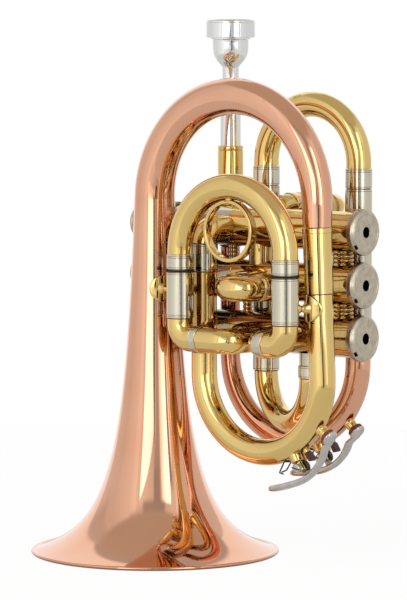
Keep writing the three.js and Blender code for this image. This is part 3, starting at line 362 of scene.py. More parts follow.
class Bench:
    """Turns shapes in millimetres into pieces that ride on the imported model."""

    def __init__(self) -> None:
        """Reads where the maker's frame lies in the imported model, from the bell's box."""
        low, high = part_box("bell")
        self.shift = Vector(((low.x + high.x) / 2, (low.y + high.y) / 2, low.z))
        self.count = 0

    def fit(
        self,
        name: str,
        shape: Mesh,
        finishes: Finish | Sequence[Finish],
        *nodes: str,
        body: Body = Body.ROOT,
        sharp: float = 32.0,
    ) -> None:
        """Makes a piece of a shape, dresses it and lets it ride.

        Args:
            name: The piece's name.
            shape: The mesh in millimetres, freed here.
            finishes: One finish, or one for each material number on the faces of a piece that is
                mostly brass.
            *nodes: The CAD nodes that it replaces.
            body: The body that the piece rides on.
            sharp: Edges whose faces turn by more than this many degrees stay crisp.
        """
        bmesh.ops.remove_doubles(shape, verts=shape.verts, dist=MERGE)
        bmesh.ops.dissolve_degenerate(shape, edges=shape.edges, dist=MERGE)
        bmesh.ops.recalc_face_normals(shape, faces=shape.faces)
        put(shape, Matrix.Translation(self.shift) @ Matrix.Scale(MM, 4))
        for face in shape.faces:
            face.smooth = True
        for edge in shape.edges:
            if len(edge.link_faces) == 2 and edge.calc_face_angle(0.0) > math.radians(sharp):
                edge.smooth = False
        mesh = bpy.data.meshes.new(name)
        shape.to_mesh(mesh)
        shape.free()
        slot = Slot.BRASS
        if isinstance(finishes, Finish):
            slot, finishes = finishes.value.slot, (finishes,)
        for finish in finishes:
            mesh.materials.append(finish.material())
        piece = bpy.data.objects.new(name, mesh)
        bpy.context.scene.collection.objects.link(piece)
        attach(piece, body.value)
        if nodes:
            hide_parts(*nodes)
        self.count += 1
        LOG.info("%s: %d faces on %s", name, len(mesh.polygons), body.value)


@dataclass
class Section:
    """A part of the instrument or its studio, with the bench on which its pieces are finished."""

    bench: Bench

    @property
    def fit(self) -> Callable[..., None]:
        """What finishes a piece, as Bench.fit says."""
        return self.bench.fit


class Route:
    """A path of straight runs and round bends through corner points."""

    def __init__(self, *corners: tuple[Vector, float], step: float = 6.0) -> None:
        """Lays the path.

        Args:
            *corners: Each corner and its bend radius, 0 at the ends.
            step: The turn between stations in a bend, in degrees.
        """
        self.runs: list[tuple[float, float, Callable[[float], tuple[Vector, Vector]]]] = []
        self.marks = [0.0]
        self.length = 0.0
        start = corners[0][0]
        for i in range(1, len(corners)):
            corner, bend = corners[i]
            if not bend:
                start = self._straight(start, corner)
                continue
            into = (corner - corners[i - 1][0]).normalized()
            away = (corners[i + 1][0] - corner).normalized()
            angle = into.angle(away)
            reach = bend * math.tan(angle / 2)
            begin = self._straight(start, corner - into * reach)
            spot = self._bent(begin, into, (away - into * math.cos(angle)).normalized(), bend)
            self._add(bend * angle, math.ceil(math.degrees(angle) / step), spot)
            start = corner + away * reach

    @staticmethod
    def _bent(start: Vector, into: Vector, inward: Vector, bend: float) -> Callable:
        """Describes a round bend.

        Args:
            start: Where it starts.
            into: The heading there.
            inward: The way to its centre.
            bend: Its radius.

        Returns:
            What gives the point and heading at a distance from its start.
        """
        centre = start + inward * bend

        def spot(s: float) -> tuple[Vector, Vector]:
            """Gives a place in the bend.

            Args:
                s: The distance from its start.

            Returns:
                The point and the heading.
            """
            turn = s / bend
            point = centre - inward * bend * math.cos(turn) + into * bend * math.sin(turn)
            return point, into * math.cos(turn) + inward * math.sin(turn)

        return spot

    def _straight(self, start: Vector, end: Vector) -> Vector:
        """Adds a straight run.

        Args:
            start: Where it starts.
            end: Where it ends.

        Returns:
            Its end.
        """
        line = end - start
        if line.length > MERGE:
            heading = line.normalized()
            self._add(line.length, 1, lambda s: (start + heading * s, heading))
        return end

    def _add(self, length: float, steps: int, spot: Callable[[float], tuple[Vector, Vector]]) -> None:
        """Adds a run with its stations.

        Args:
            length: Its length.
            steps: How many stations it has.
            spot: What gives the point and heading at a distance from its start.
        """
        self.runs.append((self.length, length, spot))
        self.marks += [self.length + length * k / steps for k in range(1, steps + 1)]
        self.length += length

    def at(self, distance: float) -> tuple[Vector, Vector]:
        """Gives a place on the path.

        Args:
            distance: The distance along it.

        Returns:
            The point and the heading.
        """
        for start, length, spot in self.runs:
            if distance <= start + length:
                return spot(distance - start)
        start, _, spot = self.runs[-1]
        return spot(distance - start)


def hairpin(
    near: Vector, far: Vector, way: Vector, start: float, crown: float, step: float,
    end: float | None = None,
) -> Route:
    """Lays a path along one leg, round a half circle and back along a second leg.

    Args:
        near: Where the first leg stands.
        far: Where the second leg stands.
        way: The legs' direction.
        start: Where along it the first leg starts.
        crown: Where along it the half circle's outermost point lies.
        step: The turn between stations in the bend, in degrees.
        end: Where along it the second leg ends, if not level with the first one's start.

    Returns:
        The path.
    """
    bend = (far - near).length / 2
    return Route(
        (near + way * start, 0), (near + way * crown, bend), (far + way * crown, bend),
        (far + way * (start if end is None else end), 0), step=step,
    )


def read_pairs(pairs: Pairs, distance: float) -> float:
    """Reads a list of pairs on straight lines between them.

    Args:
        pairs: (distance, value) pairs in rising order.
        distance: Where it is read.

    Returns:
        The value.
    """
    if distance <= pairs[0][0]:
        return pairs[0][1]
    for (d0, v0), (d1, v1) in zip(pairs, pairs[1:]):
        if distance <= d1:
            return v0 + (v1 - v0) * (distance - d0) / max(d1 - d0, MERGE)
    return pairs[-1][1]


def eased(outline: Pairs, radius: float, is_loop: bool = True, arc: int = 3) -> Pairs:
    """Rounds the corners of an outline, apart from those that turn by less than the least corner.

    Args:
        outline: Points as (radius, height) or (distance, radius).
        radius: The most that a corner's rounding takes of each side.
        is_loop: Whether the last point joins the first.
        arc: Steps in each rounding.

    Returns:
        The rounded outline.
    """
    points = [Vector(p) for p in outline]
    rounded: Pairs = []
    for i, corner in enumerate(points):
        before, after = points[i - 1] - corner, points[(i + 1) % len(points)] - corner
        if (
            not is_loop and i in (0, len(points) - 1)
            or before.length < MERGE
            or after.length < MERGE
            or math.pi - before.angle(after) < LEAST_CORNER
        ):
            rounded.append(tuple(corner))
            continue
        take = min(radius, before.length * MOST_OF_A_SIDE, after.length * MOST_OF_A_SIDE)
        first, last = corner + before.normalized() * take, corner + after.normalized() * take
        for k in range(arc + 1):
            t = k / arc
            rounded.append(tuple(first * (1 - t) ** 2 + corner * 2 * t * (1 - t) + last * t * t))
    return rounded


def arc_points(
    middle: tuple[float, float], size: tuple[float, float], start: float, turn: float, steps: int
) -> Pairs:
    """Gives points on an arc, each end included.

    Args:
        middle: The arc's middle.
        size: Its half axes.
        start: Where it starts, in degrees from the first axis.
        turn: How far it goes, in degrees.
        steps: How many steps it has.

    Returns:
        The points.
    """
    angles = [math.radians(start + turn * k / steps) for k in range(steps + 1)]
    return [(middle[0] + size[0] * math.cos(a), middle[1] + size[1] * math.sin(a)) for a in angles]


def from_columns(*columns: Vector) -> Matrix:
    """Makes a frame of its X, Y and Z axes and its place."""
    return Matrix([[c[row] for c in columns] for row in range(3)] + [[0, 0, 0, 1]])


def put(shape: Mesh, lie: Matrix) -> Mesh:
    """Moves a shape by a matrix and returns it."""
    bmesh.ops.transform(shape, matrix=lie, verts=shape.verts)
    return shape


def moved(shape: Mesh, x: float = 0.0, y: float = 0.0, z: float = 0.0) -> Mesh:
    """Moves a shape straight and returns it."""
    return put(shape, Matrix.Translation((x, y, z)))


def turned(outline: Pairs, sides: int = 48) -> Mesh:
    """Spins an outline of (radius, height) points about +Z.

    Args:
        outline: A loop, or an open line that starts and ends on the axis.
        sides: Facets round the axis.

    Returns:
        A closed shape.
    """
    shape = bmesh.new()
    spots = [shape.verts.new((radius, 0.0, height)) for radius, height in outline]
    ends = list(zip(spots, spots[1:]))
    if outline[0][0] > MERGE or outline[-1][0] > MERGE:
        ends.append((spots[-1], spots[0]))
    edges = [shape.edges.new(pair) for pair in ends]
    bmesh.ops.spin(
        shape, geom=spots + edges, cent=(0, 0, 0), axis=Z_AXIS, angle=FULL_TURN, steps=sides, use_merge=True
    )
    bmesh.ops.remove_doubles(shape, verts=shape.verts, dist=MERGE)
    bmesh.ops.dissolve_degenerate(shape, edges=shape.edges, dist=MERGE)
    return shape


def knob(outline: Pairs, radius: float, sides: int, arc: int = 3) -> Mesh:
    """Spins an open outline that starts and ends on the axis, with its corners rounded."""
    return turned(eased(outline, radius, is_loop=False, arc=arc), sides)


def aimed(shape: Mesh, direction: Vector, place: Vector) -> Mesh:
    """Turns a shape that was built about +Z to point along a direction, and moves it to a place."""
    turn = Z_AXIS.rotation_difference(direction).to_matrix().to_4x4()
    return put(shape, Matrix.Translation(place) @ turn)


def together(*shapes: Mesh) -> Mesh:
    """Puts several closed shapes into one mesh.

    Args:
        *shapes: The shapes. All but the first are freed.

    Returns:
        The first shape, with the others in it.
    """
    whole = shapes[0]
    for extra in shapes[1:]:
        mesh = bpy.data.meshes.new("joined")
        extra.to_mesh(mesh)
        extra.free()
        whole.from_mesh(mesh)
        bpy.data.meshes.remove(mesh)
    return whole


def block(
    size: tuple[float, float, float], place: tuple[float, float, float], round_by: float, segments: int = 3
) -> Mesh:
    """Makes a box with rounded edges.

    Args:
        size: Its full size.
        place: Its middle.
        round_by: The rounding of its edges.
        segments: Steps in the rounding.

    Returns:
        The closed shape.
    """
    shape = bmesh.new()
    bmesh.ops.create_cube(shape, size=1.0)
    put(shape, Matrix.Translation(place) @ Matrix.Diagonal((*size, 1.0)))
    bmesh.ops.bevel(
        shape, geom=shape.edges, offset=round_by, offset_type="OFFSET", segments=segments,
        profile=0.5, affect="EDGES", material=-1,
    )
    return shape


def frames_along(stops: Iterable[tuple[Vector, Vector, float, float]], guide: Vector) -> list[Matrix]:
    """Works out a frame for each stop whose sides don't twist.

    Args:
        stops: Point, heading, half width along the side and half depth across it.
        guide: What the first side vector leans to.

    Returns:
        One matrix for each stop.
    """
    matrices = []
    side, before = None, None
    for point, heading, wide, deep in stops:
        if side is None:
            side = (guide - heading * guide.dot(heading)).normalized()
        elif abs(before.dot(heading)) < 1 - 1e-9:
            side = before.rotation_difference(heading) @ side
        side = (side - heading * side.dot(heading)).normalized()
        before = heading.copy()
        matrices.append(from_columns(side * wide, heading.cross(side) * deep, heading, point))
    return matrices


def swept(matrices: list[Matrix], sides: int, is_loop: bool = False, squareness: float = 0.0) -> Mesh:
    """Extrudes a round or soft-square section from frame to frame.

    Args:
        matrices: The frames, each of which scales the unit section.
        sides: Points round the section.
        is_loop: Whether the last section is bridged to the first. Otherwise both ends are capped.
        squareness: 0 for a circle, up to 1 for a nearly square section.

    Returns:
        A closed shape.
    """
    shape = bmesh.new()
    bmesh.ops.create_circle(shape, cap_ends=False, radius=1.0, segments=sides)
    for vert in shape.verts:
        reach = max(abs(vert.co.x), abs(vert.co.y))
        vert.co.xy = vert.co.xy.lerp(vert.co.xy / reach, squareness)
    edges = list(shape.edges)
    first = list(edges)
    put(shape, matrices[0])
    for before, after in zip(matrices, matrices[1:]):
        made = bmesh.ops.extrude_edge_only(shape, edges=edges)["geom"]
        new = {item for item in made if isinstance(item, bmesh.types.BMVert)}
        edges = [
            item for item in made
            if isinstance(item, bmesh.types.BMEdge) and item.verts[0] in new and item.verts[1] in new
        ]
        bmesh.ops.transform(shape, matrix=after @ before.inverted(), verts=list(new))
    if is_loop:
        bmesh.ops.bridge_loops(shape, edges=first + edges)
    else:
        bmesh.ops.contextual_create(shape, geom=first)
        bmesh.ops.contextual_create(shape, geom=edges)
    return shape


def pipe(
    route: Route, outside: Pairs, sides: int = 48, wall: float = 0.6, lip: float = 0.15,
    guide: Vector = Y_AXIS, bore: float = 0.0,
) -> Mesh:
    """Makes a hollow tube along a route.

    Args:
        route: The tube's middle line.
        outside: The outside radius as (distance, radius) pairs.
        sides: Facets round the tube.
        wall: The sheet's thickness, for a tube whose inside follows its outside.
        lip: The rounding of the cut ends.
        guide: What the section's first point leans to.
        bore: The radius of the inside where it is the same all along, or 0.

    Returns:
        A closed shape with a wall.
    """
    def skin(pairs: Pairs, radius_at: Callable[[float], float]) -> list[Matrix]:
        """Works out the frames of one side of the wall.

        Args:
            pairs: The pairs at which it has a stop, besides the route's stations.
            radius_at: What gives its radius at a distance.

        Returns:
            The frames.
        """
        inner = {d for d, _ in pairs if 0 < d < route.length}
        spots = sorted({*route.marks, *inner, lip, route.length - lip})
        spots = [d for i, d in enumerate(spots) if i == 0 or d - spots[i - 1] > 1e-3]
        return frames_along([(*route.at(d), radius_at(d), radius_at(d)) for d in spots], guide)

    def outer(distance: float) -> float:
        """Gives the outside radius, drawn in at the cut ends."""
        is_end = distance < lip / 2 or distance > route.length - lip / 2
        return read_pairs(outside, distance) - (lip if is_end else 0)

    inside = skin([], lambda d: bore or read_pairs(outside, d) - wall)
    return swept(skin(outside, outer) + inside[::-1], sides, is_loop=True)


def grooved(
    pairs: Pairs, start: float, end: float, radius: float, first: Sequence[float] = (0.9,),
    last: Sequence[float] = (0.9,), depth: float = 0.18,
) -> Pairs:
    """Adds to (distance, radius) pairs a band with fine turned grooves near its ends.

    Args:
        pairs: What comes before the band.
        start: Where the band starts.
        end: Where it ends.
        radius: The band's radius.
        first: How far each groove near the start sits from it, in rising order.
        last: How far each groove near the end sits from it, in rising order.
        depth: How deep the grooves are.

    Returns:
        The pairs with the band.
    """
    band = [(start, radius - depth), (start + 0.15, radius)]
    for middle in [start + step for step in first] + [end - step for step in reversed(last)]:
        band += [(middle - 0.16, radius), (middle - 0.05, radius - depth), (middle + 0.05, radius - depth),
                 (middle + 0.16, radius)]
    band += [(end - 0.15, radius), (end, radius - depth)]
    return pairs + band


@dataclass(frozen=True)
class TubeStock:
    """Outside radii of the drawn tubes and the gaps between pieces."""

    seam: float = 0.3
    inner_leg: float = 5.85
    crook: float = 6.2
    sleeve: float = 6.65
    sleeve_bore: float = 6.15
    wall: float = 0.6
    branch_start: float = 7.1
    branch_seam: float = 6.8
    branch_end: float = 6.2
    knuckle: float = 6.1
    elbow_bend: float = 7.2


STOCK = TubeStock()


def upright_sleeve(
    low: float, top: float, lines: Sequence[float] = (0.9,), inside: Pairs | None = None, sides: int = 48
) -> Mesh:
    """Turns a grooved outer tube about +Z.

    Args:
        low: Where it starts.
        top: Where the grooved band ends.
        lines: How far each groove near its low end sits from it.
        inside: The rest of its outline, from the band's top down to its low end.
        sides: Facets round the axis.

    Returns:
        The shape.
    """
    band = [(r, low + d) for d, r in grooved([], 0, top - low, STOCK.sleeve, first=lines)]
    return turned(band + (inside or [(STOCK.sleeve_bore, top), (STOCK.sleeve_bore, low)]), sides)


@dataclass
class BellSection(Section):
    """The rose brass bell and the bow over it, as one line of metal."""

    rim: float = 61.5
    length: float = 175.9
    flare_offset: float = 13.0
    flare_power: float = 0.675
    run_out: float = 1.3
    run_out_reach: float = 14.0
    wall: float = 0.8
    bead: float = 1.0
    bead_join_z: float = 1.75
    bead_start: float = 112.0
    bead_turn: float = -202.0
    wall_low_z: float = 0.35
    rings: int = 46
    ring_crowding: float = 2.2
    sides: int = 128
    sharp: float = 50.0
    right_x: float = 101.8
    join_z: float = 165.4
    quarter_tube: float = 9.35
    crown_tube: float = 8.75
    lip: float = 0.12

    def radius(self, z: float) -> float:
        """Gives the bell's outside radius at a height, with the flare run out to the bead."""
        raised = z - self.run_out * math.exp(-z / self.run_out_reach)
        return self.rim * (self.flare_offset / (raised + self.flare_offset)) ** self.flare_power

    def bell(self) -> None:
        """Builds the bell with its rolled rim."""
        top = self.length + STOCK.seam
        shares = [(k / self.rings) ** self.ring_crowding for k in range(self.rings, -1, -1)]
        heights = [self.bead_join_z + (top - self.bead_join_z) * share for share in shares]
        outer = [(self.radius(z), z) for z in heights]
        roll = arc_points((self.rim - self.bead, self.bead), (self.bead, self.bead), self.bead_start,
                          self.bead_turn, 12)
        inner = []
        for radius, z in outer[::-1]:
            slope = (self.radius(z + 0.1) - radius) / 0.1
            lean = math.hypot(1, slope)
            inner.append((radius - self.wall / lean, min(top, z + self.wall * slope / lean)))
        inner = [(r, z) for r, z in inner if z > self.wall_low_z]
        self.fit("bell_of_rose_brass", turned(outer + roll + inner, self.sides), Finish.ROSE_BRASS, "bell",
                 sharp=self.sharp)

    def bow(self) -> None:
        """Builds the bow that runs from the bell's tail to the branch."""
        start = self.length + STOCK.seam
        route = hairpin(Vector(), X_AXIS * self.right_x, Z_AXIS, start, start + self.right_x / 2, step=4,
                        end=self.join_z + STOCK.seam)
        outside = [(0, self.radius(start)), (route.length * 0.25, self.quarter_tube),
                   (route.length / 2, self.crown_tube), (route.length - self.lip, STOCK.branch_start),
                   (route.length, STOCK.branch_start - self.lip)]
        self.fit("bow_over_the_bell", pipe(route, outside, sides=56, lip=0.0), Finish.ROSE_BRASS, "bell_bow")

    def build(self) -> None:
        """Builds both pieces."""
        self.bell()
        self.bow()


@dataclass
class Branch(Section):
    """The yellow brass tube from the bow over the bell, round the bottom bow, up into valve 1."""

    top_x: float = 101.8
    low_x: float = 105.2
    join_z: float = 165.4
    seam_z: float = 134.0
    bow_z: float = 92.1
    port_x: float = 32.0
    ferrule_low_z: float = 141.7
    solder: float = 0.12
    groove: float = 0.16
    casing_sink: float = 0.4

    @property
    def bend(self) -> float:
        """The bottom bow's radius."""
        return (self.low_x - self.port_x) / 2

    def leg(self, z: float) -> Vector:
        """Gives the right leg's middle at a height; it leans out on its way down."""
        share = (self.join_z - z) / (self.join_z - self.bow_z)
        return Vector((self.top_x + (self.low_x - self.top_x) * share, 0, z))

    def upper_tube(self) -> None:
        """Builds the short tube under the rose brass bow, with a soldered ferrule line at its top."""
        route = Route((self.leg(self.join_z - STOCK.seam / 2), 0), (self.leg(self.seam_z), 0))
        band = STOCK.branch_start + self.solder
        outside = [(0, band), (2.2, band), (2.35, band - self.groove), (2.5, band - self.groove),
                   (2.65, band - self.groove / 4), (route.length, STOCK.branch_seam)]
        self.fit("branch_upper_sleeve", pipe(route, outside), Finish.YELLOW_BRASS, "branch_upper_tube")

    def bottom_bow(self) -> None:
        """Builds the bottom bow, which carries the first water key."""
        low = self.bow_z - self.bend
        route = Route(
            (self.leg(self.seam_z - STOCK.seam), 0), (Vector((self.low_x, 0, self.bow_z)), 0),
            (Vector((self.low_x, 0, low)), self.bend), (Vector((self.port_x, 0, low)), self.bend),
            (Vector((self.port_x, 0, self.ferrule_low_z - STOCK.seam)), 0), step=5,
        )
        outside = [(0, STOCK.branch_seam - STOCK.wall / 2), (route.length, STOCK.branch_end)]
        self.fit("branch_bottom_bow", pipe(route, outside), Finish.YELLOW_BRASS, "branch_bow")

    def end(self, valves: "ValveBlock") -> None:
        """Builds the nickel ferrule and the elbow into valve 1.

        Args:
            valves: The valves.
        """
        elbow_z = valves.one_z - STOCK.elbow_bend
        low, top, inner = self.ferrule_low_z, elbow_z - STOCK.seam, STOCK.branch_end - STOCK.wall
        ferrule = upright_sleeve(low, top, inside=[(inner, top), (inner, low)])
        self.fit("branch_end_ferrule", moved(ferrule, self.port_x), Finish.NICKEL_SILVER, "branch_ferrule")
        route = Route(
            (Vector((self.port_x, 0, elbow_z)), 0),
            (Vector((self.port_x, 0, valves.one_z)), STOCK.elbow_bend),
            (Vector((self.port_x, valves.left_side(self.casing_sink), valves.one_z)), 0), step=7,
        )
        self.fit("branch_elbow_into_valve", pipe(route, [(0, STOCK.knuckle)]), Finish.YELLOW_BRASS,
                 "branch_elbow")

    def build(self, valves: "ValveBlock") -> None:
        """Builds the whole branch.

        Args:
            valves: The valves.
        """
        self.upper_tube()
        self.bottom_bow()
        self.end(valves)


@dataclass
class ValveBlock(Section):
    """Three piston valves that lie along X: casings, caps, stems, buttons and the links between them."""

    plane_y: float = 24.6
    one_z: float = 162.4
    spacing: float = 25.6
    port_x: float = 32.0
    port_pitch: float = 15.8
    stroke: float = 16.0
    casing: float = 9.6
    collar: float = 9.8
    wall: float = 0.6
    top_x: float = -4.1
    length: float = 112.3
    top_share: float = 0.335
    bottom_cap: float = 11.3
    bottom_cap_length: float = 4.4
    notch_angle: float = -48.0
    notch_half_angle: float = 7.5
    notch_reach: float = 1.52
    notch_depth: float = 1.7
    notch_drop: float = 0.9
    cap_sharp: float = 28.0
    top_cap: float = 10.9
    top_cap_length: float = 5.6
    grip_grooves: int = 5
    grip_pitch: float = 0.62
    vent: float = 2.6
    button: float = 9.0
    button_length: float = 3.8
    button_gap: float = 0.7
    stem: float = 2.2
    link_sink: float = 1.9
    stay_x: float = 98.0
    front_stay_x: tuple[float, float] = (30.5, 39.3)
    front_stay_share: float = 0.45
    reeds: tuple[float, ...] = (-3.0, -1.0, 1.0, 3.0)
    reed: tuple[tuple[float, float], ...] = (
        (4.3, -0.95), (5.3, -0.75), (5.6, -0.3), (5.6, 0.3), (5.3, 0.75), (4.3, 0.95),
    )

    @property
    def bottom_x(self) -> float:
        """Where the casings end."""
        return self.top_x + self.length

    @property
    def button_x(self) -> float:
        """The buttons' inner face with the valves up."""
        return self.top_x - STOCK.seam - self.top_cap_length - self.stroke - self.button_gap

    def z(self, number: int) -> float:
        """The height of a valve's axis."""
        return self.one_z - (number - 1) * self.spacing

    def left_side(self, sink: float) -> float:
        """Gives the Y of the casings' left side, a little way into it."""
        return self.plane_y - self.casing + sink

    def gap(self, upper: int) -> tuple[float, float]:
        """Gives the ends of a link below a valve, which sink into both casings."""
        reach = self.casing - self.link_sink
        return self.z(upper + 1) + reach, self.z(upper) - reach

    def on_axis(self, shape: Mesh, number: int) -> Mesh:
        """Lays a shape that was built about +Z, with its height as X, on a valve's axis."""
        return put(shape, from_columns(-Z_AXIS, Y_AXIS, X_AXIS, Vector((0, self.plane_y, self.z(number)))))

    def casing_piece(self, number: int) -> None:
        """Builds a casing: nickel silver at the top, brass at the bottom, with collars and seam rings.

        Args:
            number: The valve's number.
        """
        r, collar, top, bottom = self.casing, self.collar, self.top_x, self.bottom_x
        seam_x = top + self.length * self.top_share
        outline = [
            (r - self.wall, top), (r - 0.1, top), (r, top + 0.15), (r, seam_x - 0.2), (r - 0.15, seam_x),
            (r - 0.15, seam_x + 0.12), (collar, seam_x + 0.25), (collar, seam_x + 1.5), (r, seam_x + 1.7),
            (r, bottom - 4.6), (collar, bottom - 4.4), (collar, bottom - 0.2), (collar - 0.2, bottom),
            (r - self.wall, bottom),
        ]
        shape = self.on_axis(turned(outline, 64), number)
        for face in shape.faces:
            face.material_index = 1 if face.calc_center_median().x > seam_x + 0.05 else 0
        self.fit(f"casing_of_valve_{number}", shape, (Finish.NICKEL_SILVER, Finish.YELLOW_BRASS),
                 f"valve_casing_{number}")

    def cut_notch(self, shape: Mesh, face: float) -> None:
        """Sinks the coin notch into a bottom cap's rim.

        Args:
            shape: The cap, built about +Z.
            face: The height of its outer face.
        """
        notch = []
        for facet in shape.faces:
            spot = facet.calc_center_median()
            turn = math.degrees(math.atan2(spot.y, spot.x)) - self.notch_angle
            is_outer = spot.xy.length > self.bottom_cap - self.notch_reach
            if face - 1.1 < spot.z < face - 0.05 and is_outer and abs(turn) < self.notch_half_angle:
                notch.append(facet)
        cut = bmesh.ops.extrude_face_region(shape, geom=notch)["geom"]
        bmesh.ops.delete(shape, geom=notch, context="FACES_ONLY")
        for vert in [item for item in cut if isinstance(item, bmesh.types.BMVert)]:
            vert.co.xy = vert.co.xy * (self.bottom_cap - self.notch_depth) / vert.co.xy.length
            vert.co.z -= self.notch_drop

    def bottom_cap_piece(self, number: int) -> None:
        """Builds a bottom cap: a wide rim, a flat vented face and a coin notch in the rim.

        Args:
            number: The valve's number.
        """
        start = self.bottom_x + STOCK.seam
        face = start + self.bottom_cap_length
        rim, hub = self.bottom_cap, self.casing - self.wall - 0.7
        outline = [
            (self.vent, face - 1.3), (hub, face - 1.3), (hub, start), (rim - 0.25, start),
            (rim - 0.25, start + 0.7), (rim, start + 0.9), (rim, face - 1.7), (rim - 0.3, face - 1.0),
            (rim - 1.5, face - 0.15), (rim - 1.8, face), (rim - 2.5, face), (rim - 2.8, face - 0.25),
            (self.vent + 0.3, face - 0.25), (self.vent, face - 0.5),
        ]
        shape = turned(eased(outline, 0.18), 96)
        self.cut_notch(shape, face)
        self.fit(f"bottom_cap_of_valve_{number}", self.on_axis(shape, number), Finish.SATIN_NICKEL,
                 f"bottom_cap_{number}", sharp=self.cap_sharp)

    def top_cap_piece(self, number: int) -> None:
        """Builds a top cap with a stepped dome, a grip of turned grooves and a hole for the stem.

        Args:
            number: The valve's number.
        """
        skirt = self.top_x - STOCK.seam
        out = skirt - self.top_cap_length
        hole, rim, inside = self.stem + 0.5, self.top_cap, self.casing - self.wall
        outline = [(hole, out + 1.3), (hole, out + 0.2), (hole + 0.2, out), (4.6, out), (4.9, out + 0.35),
                   (rim - 2.0, out + 0.55), (rim - 0.7, out + 1.1), (rim, out + 1.9)]
        for k in range(self.grip_grooves):
            x = out + 2.1 + k * self.grip_pitch
            outline += [(rim, x), (rim - 0.22, x + 0.15), (rim - 0.22, x + 0.3), (rim, x + 0.45)]
        outline += [(rim, skirt - 0.2), (rim - 0.2, skirt), (inside, skirt), (inside, out + 1.3)]
        self.fit(f"top_cap_of_valve_{number}", self.on_axis(turned(outline, 64), number), Finish.SATIN_NICKEL,
                 f"top_cap_{number}", sharp=self.cap_sharp)

    def moving_pieces(self, number: int, body: Body) -> None:
        """Builds what moves outside the casing: the dished finger button and the stem's sleeve.

        Args:
            number: The valve's number.
            body: The piston's body.
        """
        inner, r = self.button_x, self.button
        outer = inner - self.button_length
        button = knob([
            (0, outer + 0.65), (r - 2.3, outer + 0.45), (r - 1.5, outer + 0.1), (r - 0.6, outer),
            (r, outer + 0.8), (r, outer + 2.0), (r - 0.9, outer + 2.7), (r - 2.6, inner - 0.5), (4.4, inner),
            (0, inner),
        ], 0.35, 64, arc=4)
        self.fit(f"button_of_valve_{number}", self.on_axis(button, number), Finish.SATIN_NICKEL,
                 f"finger_button_{number}", body=body)
        r, start, end = self.stem + 0.12, inner - 0.1, self.top_x - 3.9
        outline = [(0, start), (2.6, start), (2.6, start + 2.0), (r, start + 2.5), (r, end), (0, end)]
        sleeve = knob(outline, 0.2, 40)
        self.fit(f"stem_of_valve_{number}", self.on_axis(sleeve, number), Finish.NICKEL_SILVER, body=body)

    def links(self) -> None:
        """Builds the tubes and the turned stays between neighbouring casings."""
        r, bore = STOCK.knuckle, STOCK.knuckle - STOCK.wall
        for upper in (1, 2):
            low, high = self.gap(upper)
            knuckle = turned([(r, low), (r, high), (bore, high), (bore, low)], 40)
            moved(knuckle, self.port_x + upper * self.port_pitch, self.plane_y)
            pair = f"{upper}_{upper + 1}"
            self.fit(f"tube_between_valves_{pair}", knuckle, Finish.YELLOW_BRASS, f"valve_knuckle_{pair}")
            self.stay(f"turned_stay_{pair}", upper, self.stay_x, 1.0, f"casing_stay_{pair}")
            self.stay(f"front_stay_{pair}", upper, self.front_stay_x[upper - 1], self.front_stay_share)

    def keep_out(self, shape: Mesh, number: int, way: Vector) -> None:
        """Moves what lies in a casing's bore out into the casing's wall.

        Args:
            shape: The piece, in its place.
            number: The valve's number.
            way: The way out, square to X.
        """
        middle = self.casing - self.wall / 4
        for vert in shape.verts:
            spot = Vector((0, vert.co.y - self.plane_y, vert.co.z - self.z(number)))
            if spot.length < middle:
                along = spot.dot(way)
                vert.co += way * (math.sqrt(along**2 + middle**2 - spot.length_squared) - along)
        bmesh.ops.dissolve_degenerate(shape, edges=shape.edges, dist=MERGE)

    def stay(self, name: str, upper: int, x: float, share: float, *nodes: str) -> None:
        """Builds a turned stay with four reeds, soldered between two neighbouring casings.

        Args:
            name: The piece's name.
            upper: The number of the upper of the two valves.
            x: Where its axis stands.
            share: How thick it is, as a share of the big stay.
            *nodes: The CAD nodes that it replaces.
        """
        low, high = self.gap(upper)
        middle = (low + high) / 2
        outline = [(0, low), (4.4 * share, low), (4.9 * share, middle - 4.2)]
        outline += [(r * share, middle + z + rise) for z in self.reeds for r, rise in self.reed]
        outline += [(4.9 * share, middle + 4.2), (4.4 * share, high), (0, high)]
        shape = moved(turned(outline, 40), x, self.plane_y)
        self.keep_out(shape, upper + 1, Z_AXIS)
        self.keep_out(shape, upper, -Z_AXIS)
        self.fit(name, shape, Finish.YELLOW_BRASS, *nodes)

    def build(self) -> None:
        """Builds all three valves, and gives the hidden pistons and springs their finish."""
        for number, body in ((1, Body.PISTON_1), (2, Body.PISTON_2), (3, Body.PISTON_3)):
            self.casing_piece(number)
            self.bottom_cap_piece(number)
            self.top_cap_piece(number)
            self.moving_pieces(number, body)
        self.links()
        for number in (1, 2, 3):
            for node, finish in ((f"piston_{number}", Finish.NICKEL_SILVER),
                                 (f"valve_spring_{number}", Finish.SPRING_STEEL)):
                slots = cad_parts[node].data.materials
                slots.clear()
                slots.append(finish.material())


def slide_outside(length: float, insert: float, ferrule: float) -> Pairs:
    """Gives a slide's outside: thin legs, nickel ferrules with turned grooves and a full bow.

    Args:
        length: The slide's length along its middle line.
        insert: How much of each leg is in the outer tube.
        ferrule: The ferrule's length. Past 4 mm it has two grooves at its far end.

    Returns:
        (distance, radius) pairs from one leg's tip to the other's.
    """
    lines = (0.8, 1.6) if ferrule > 4 else (ferrule * 0.28,)
    leg = [(0, STOCK.inner_leg), (insert, STOCK.inner_leg)]
    leg = grooved(leg, insert + 0.1, insert + 0.1 + ferrule, STOCK.sleeve, first=lines[:1], last=lines)
    leg.append((insert + ferrule + 0.25, STOCK.crook))
    return leg + [(length - d, r) for d, r in reversed(leg)]


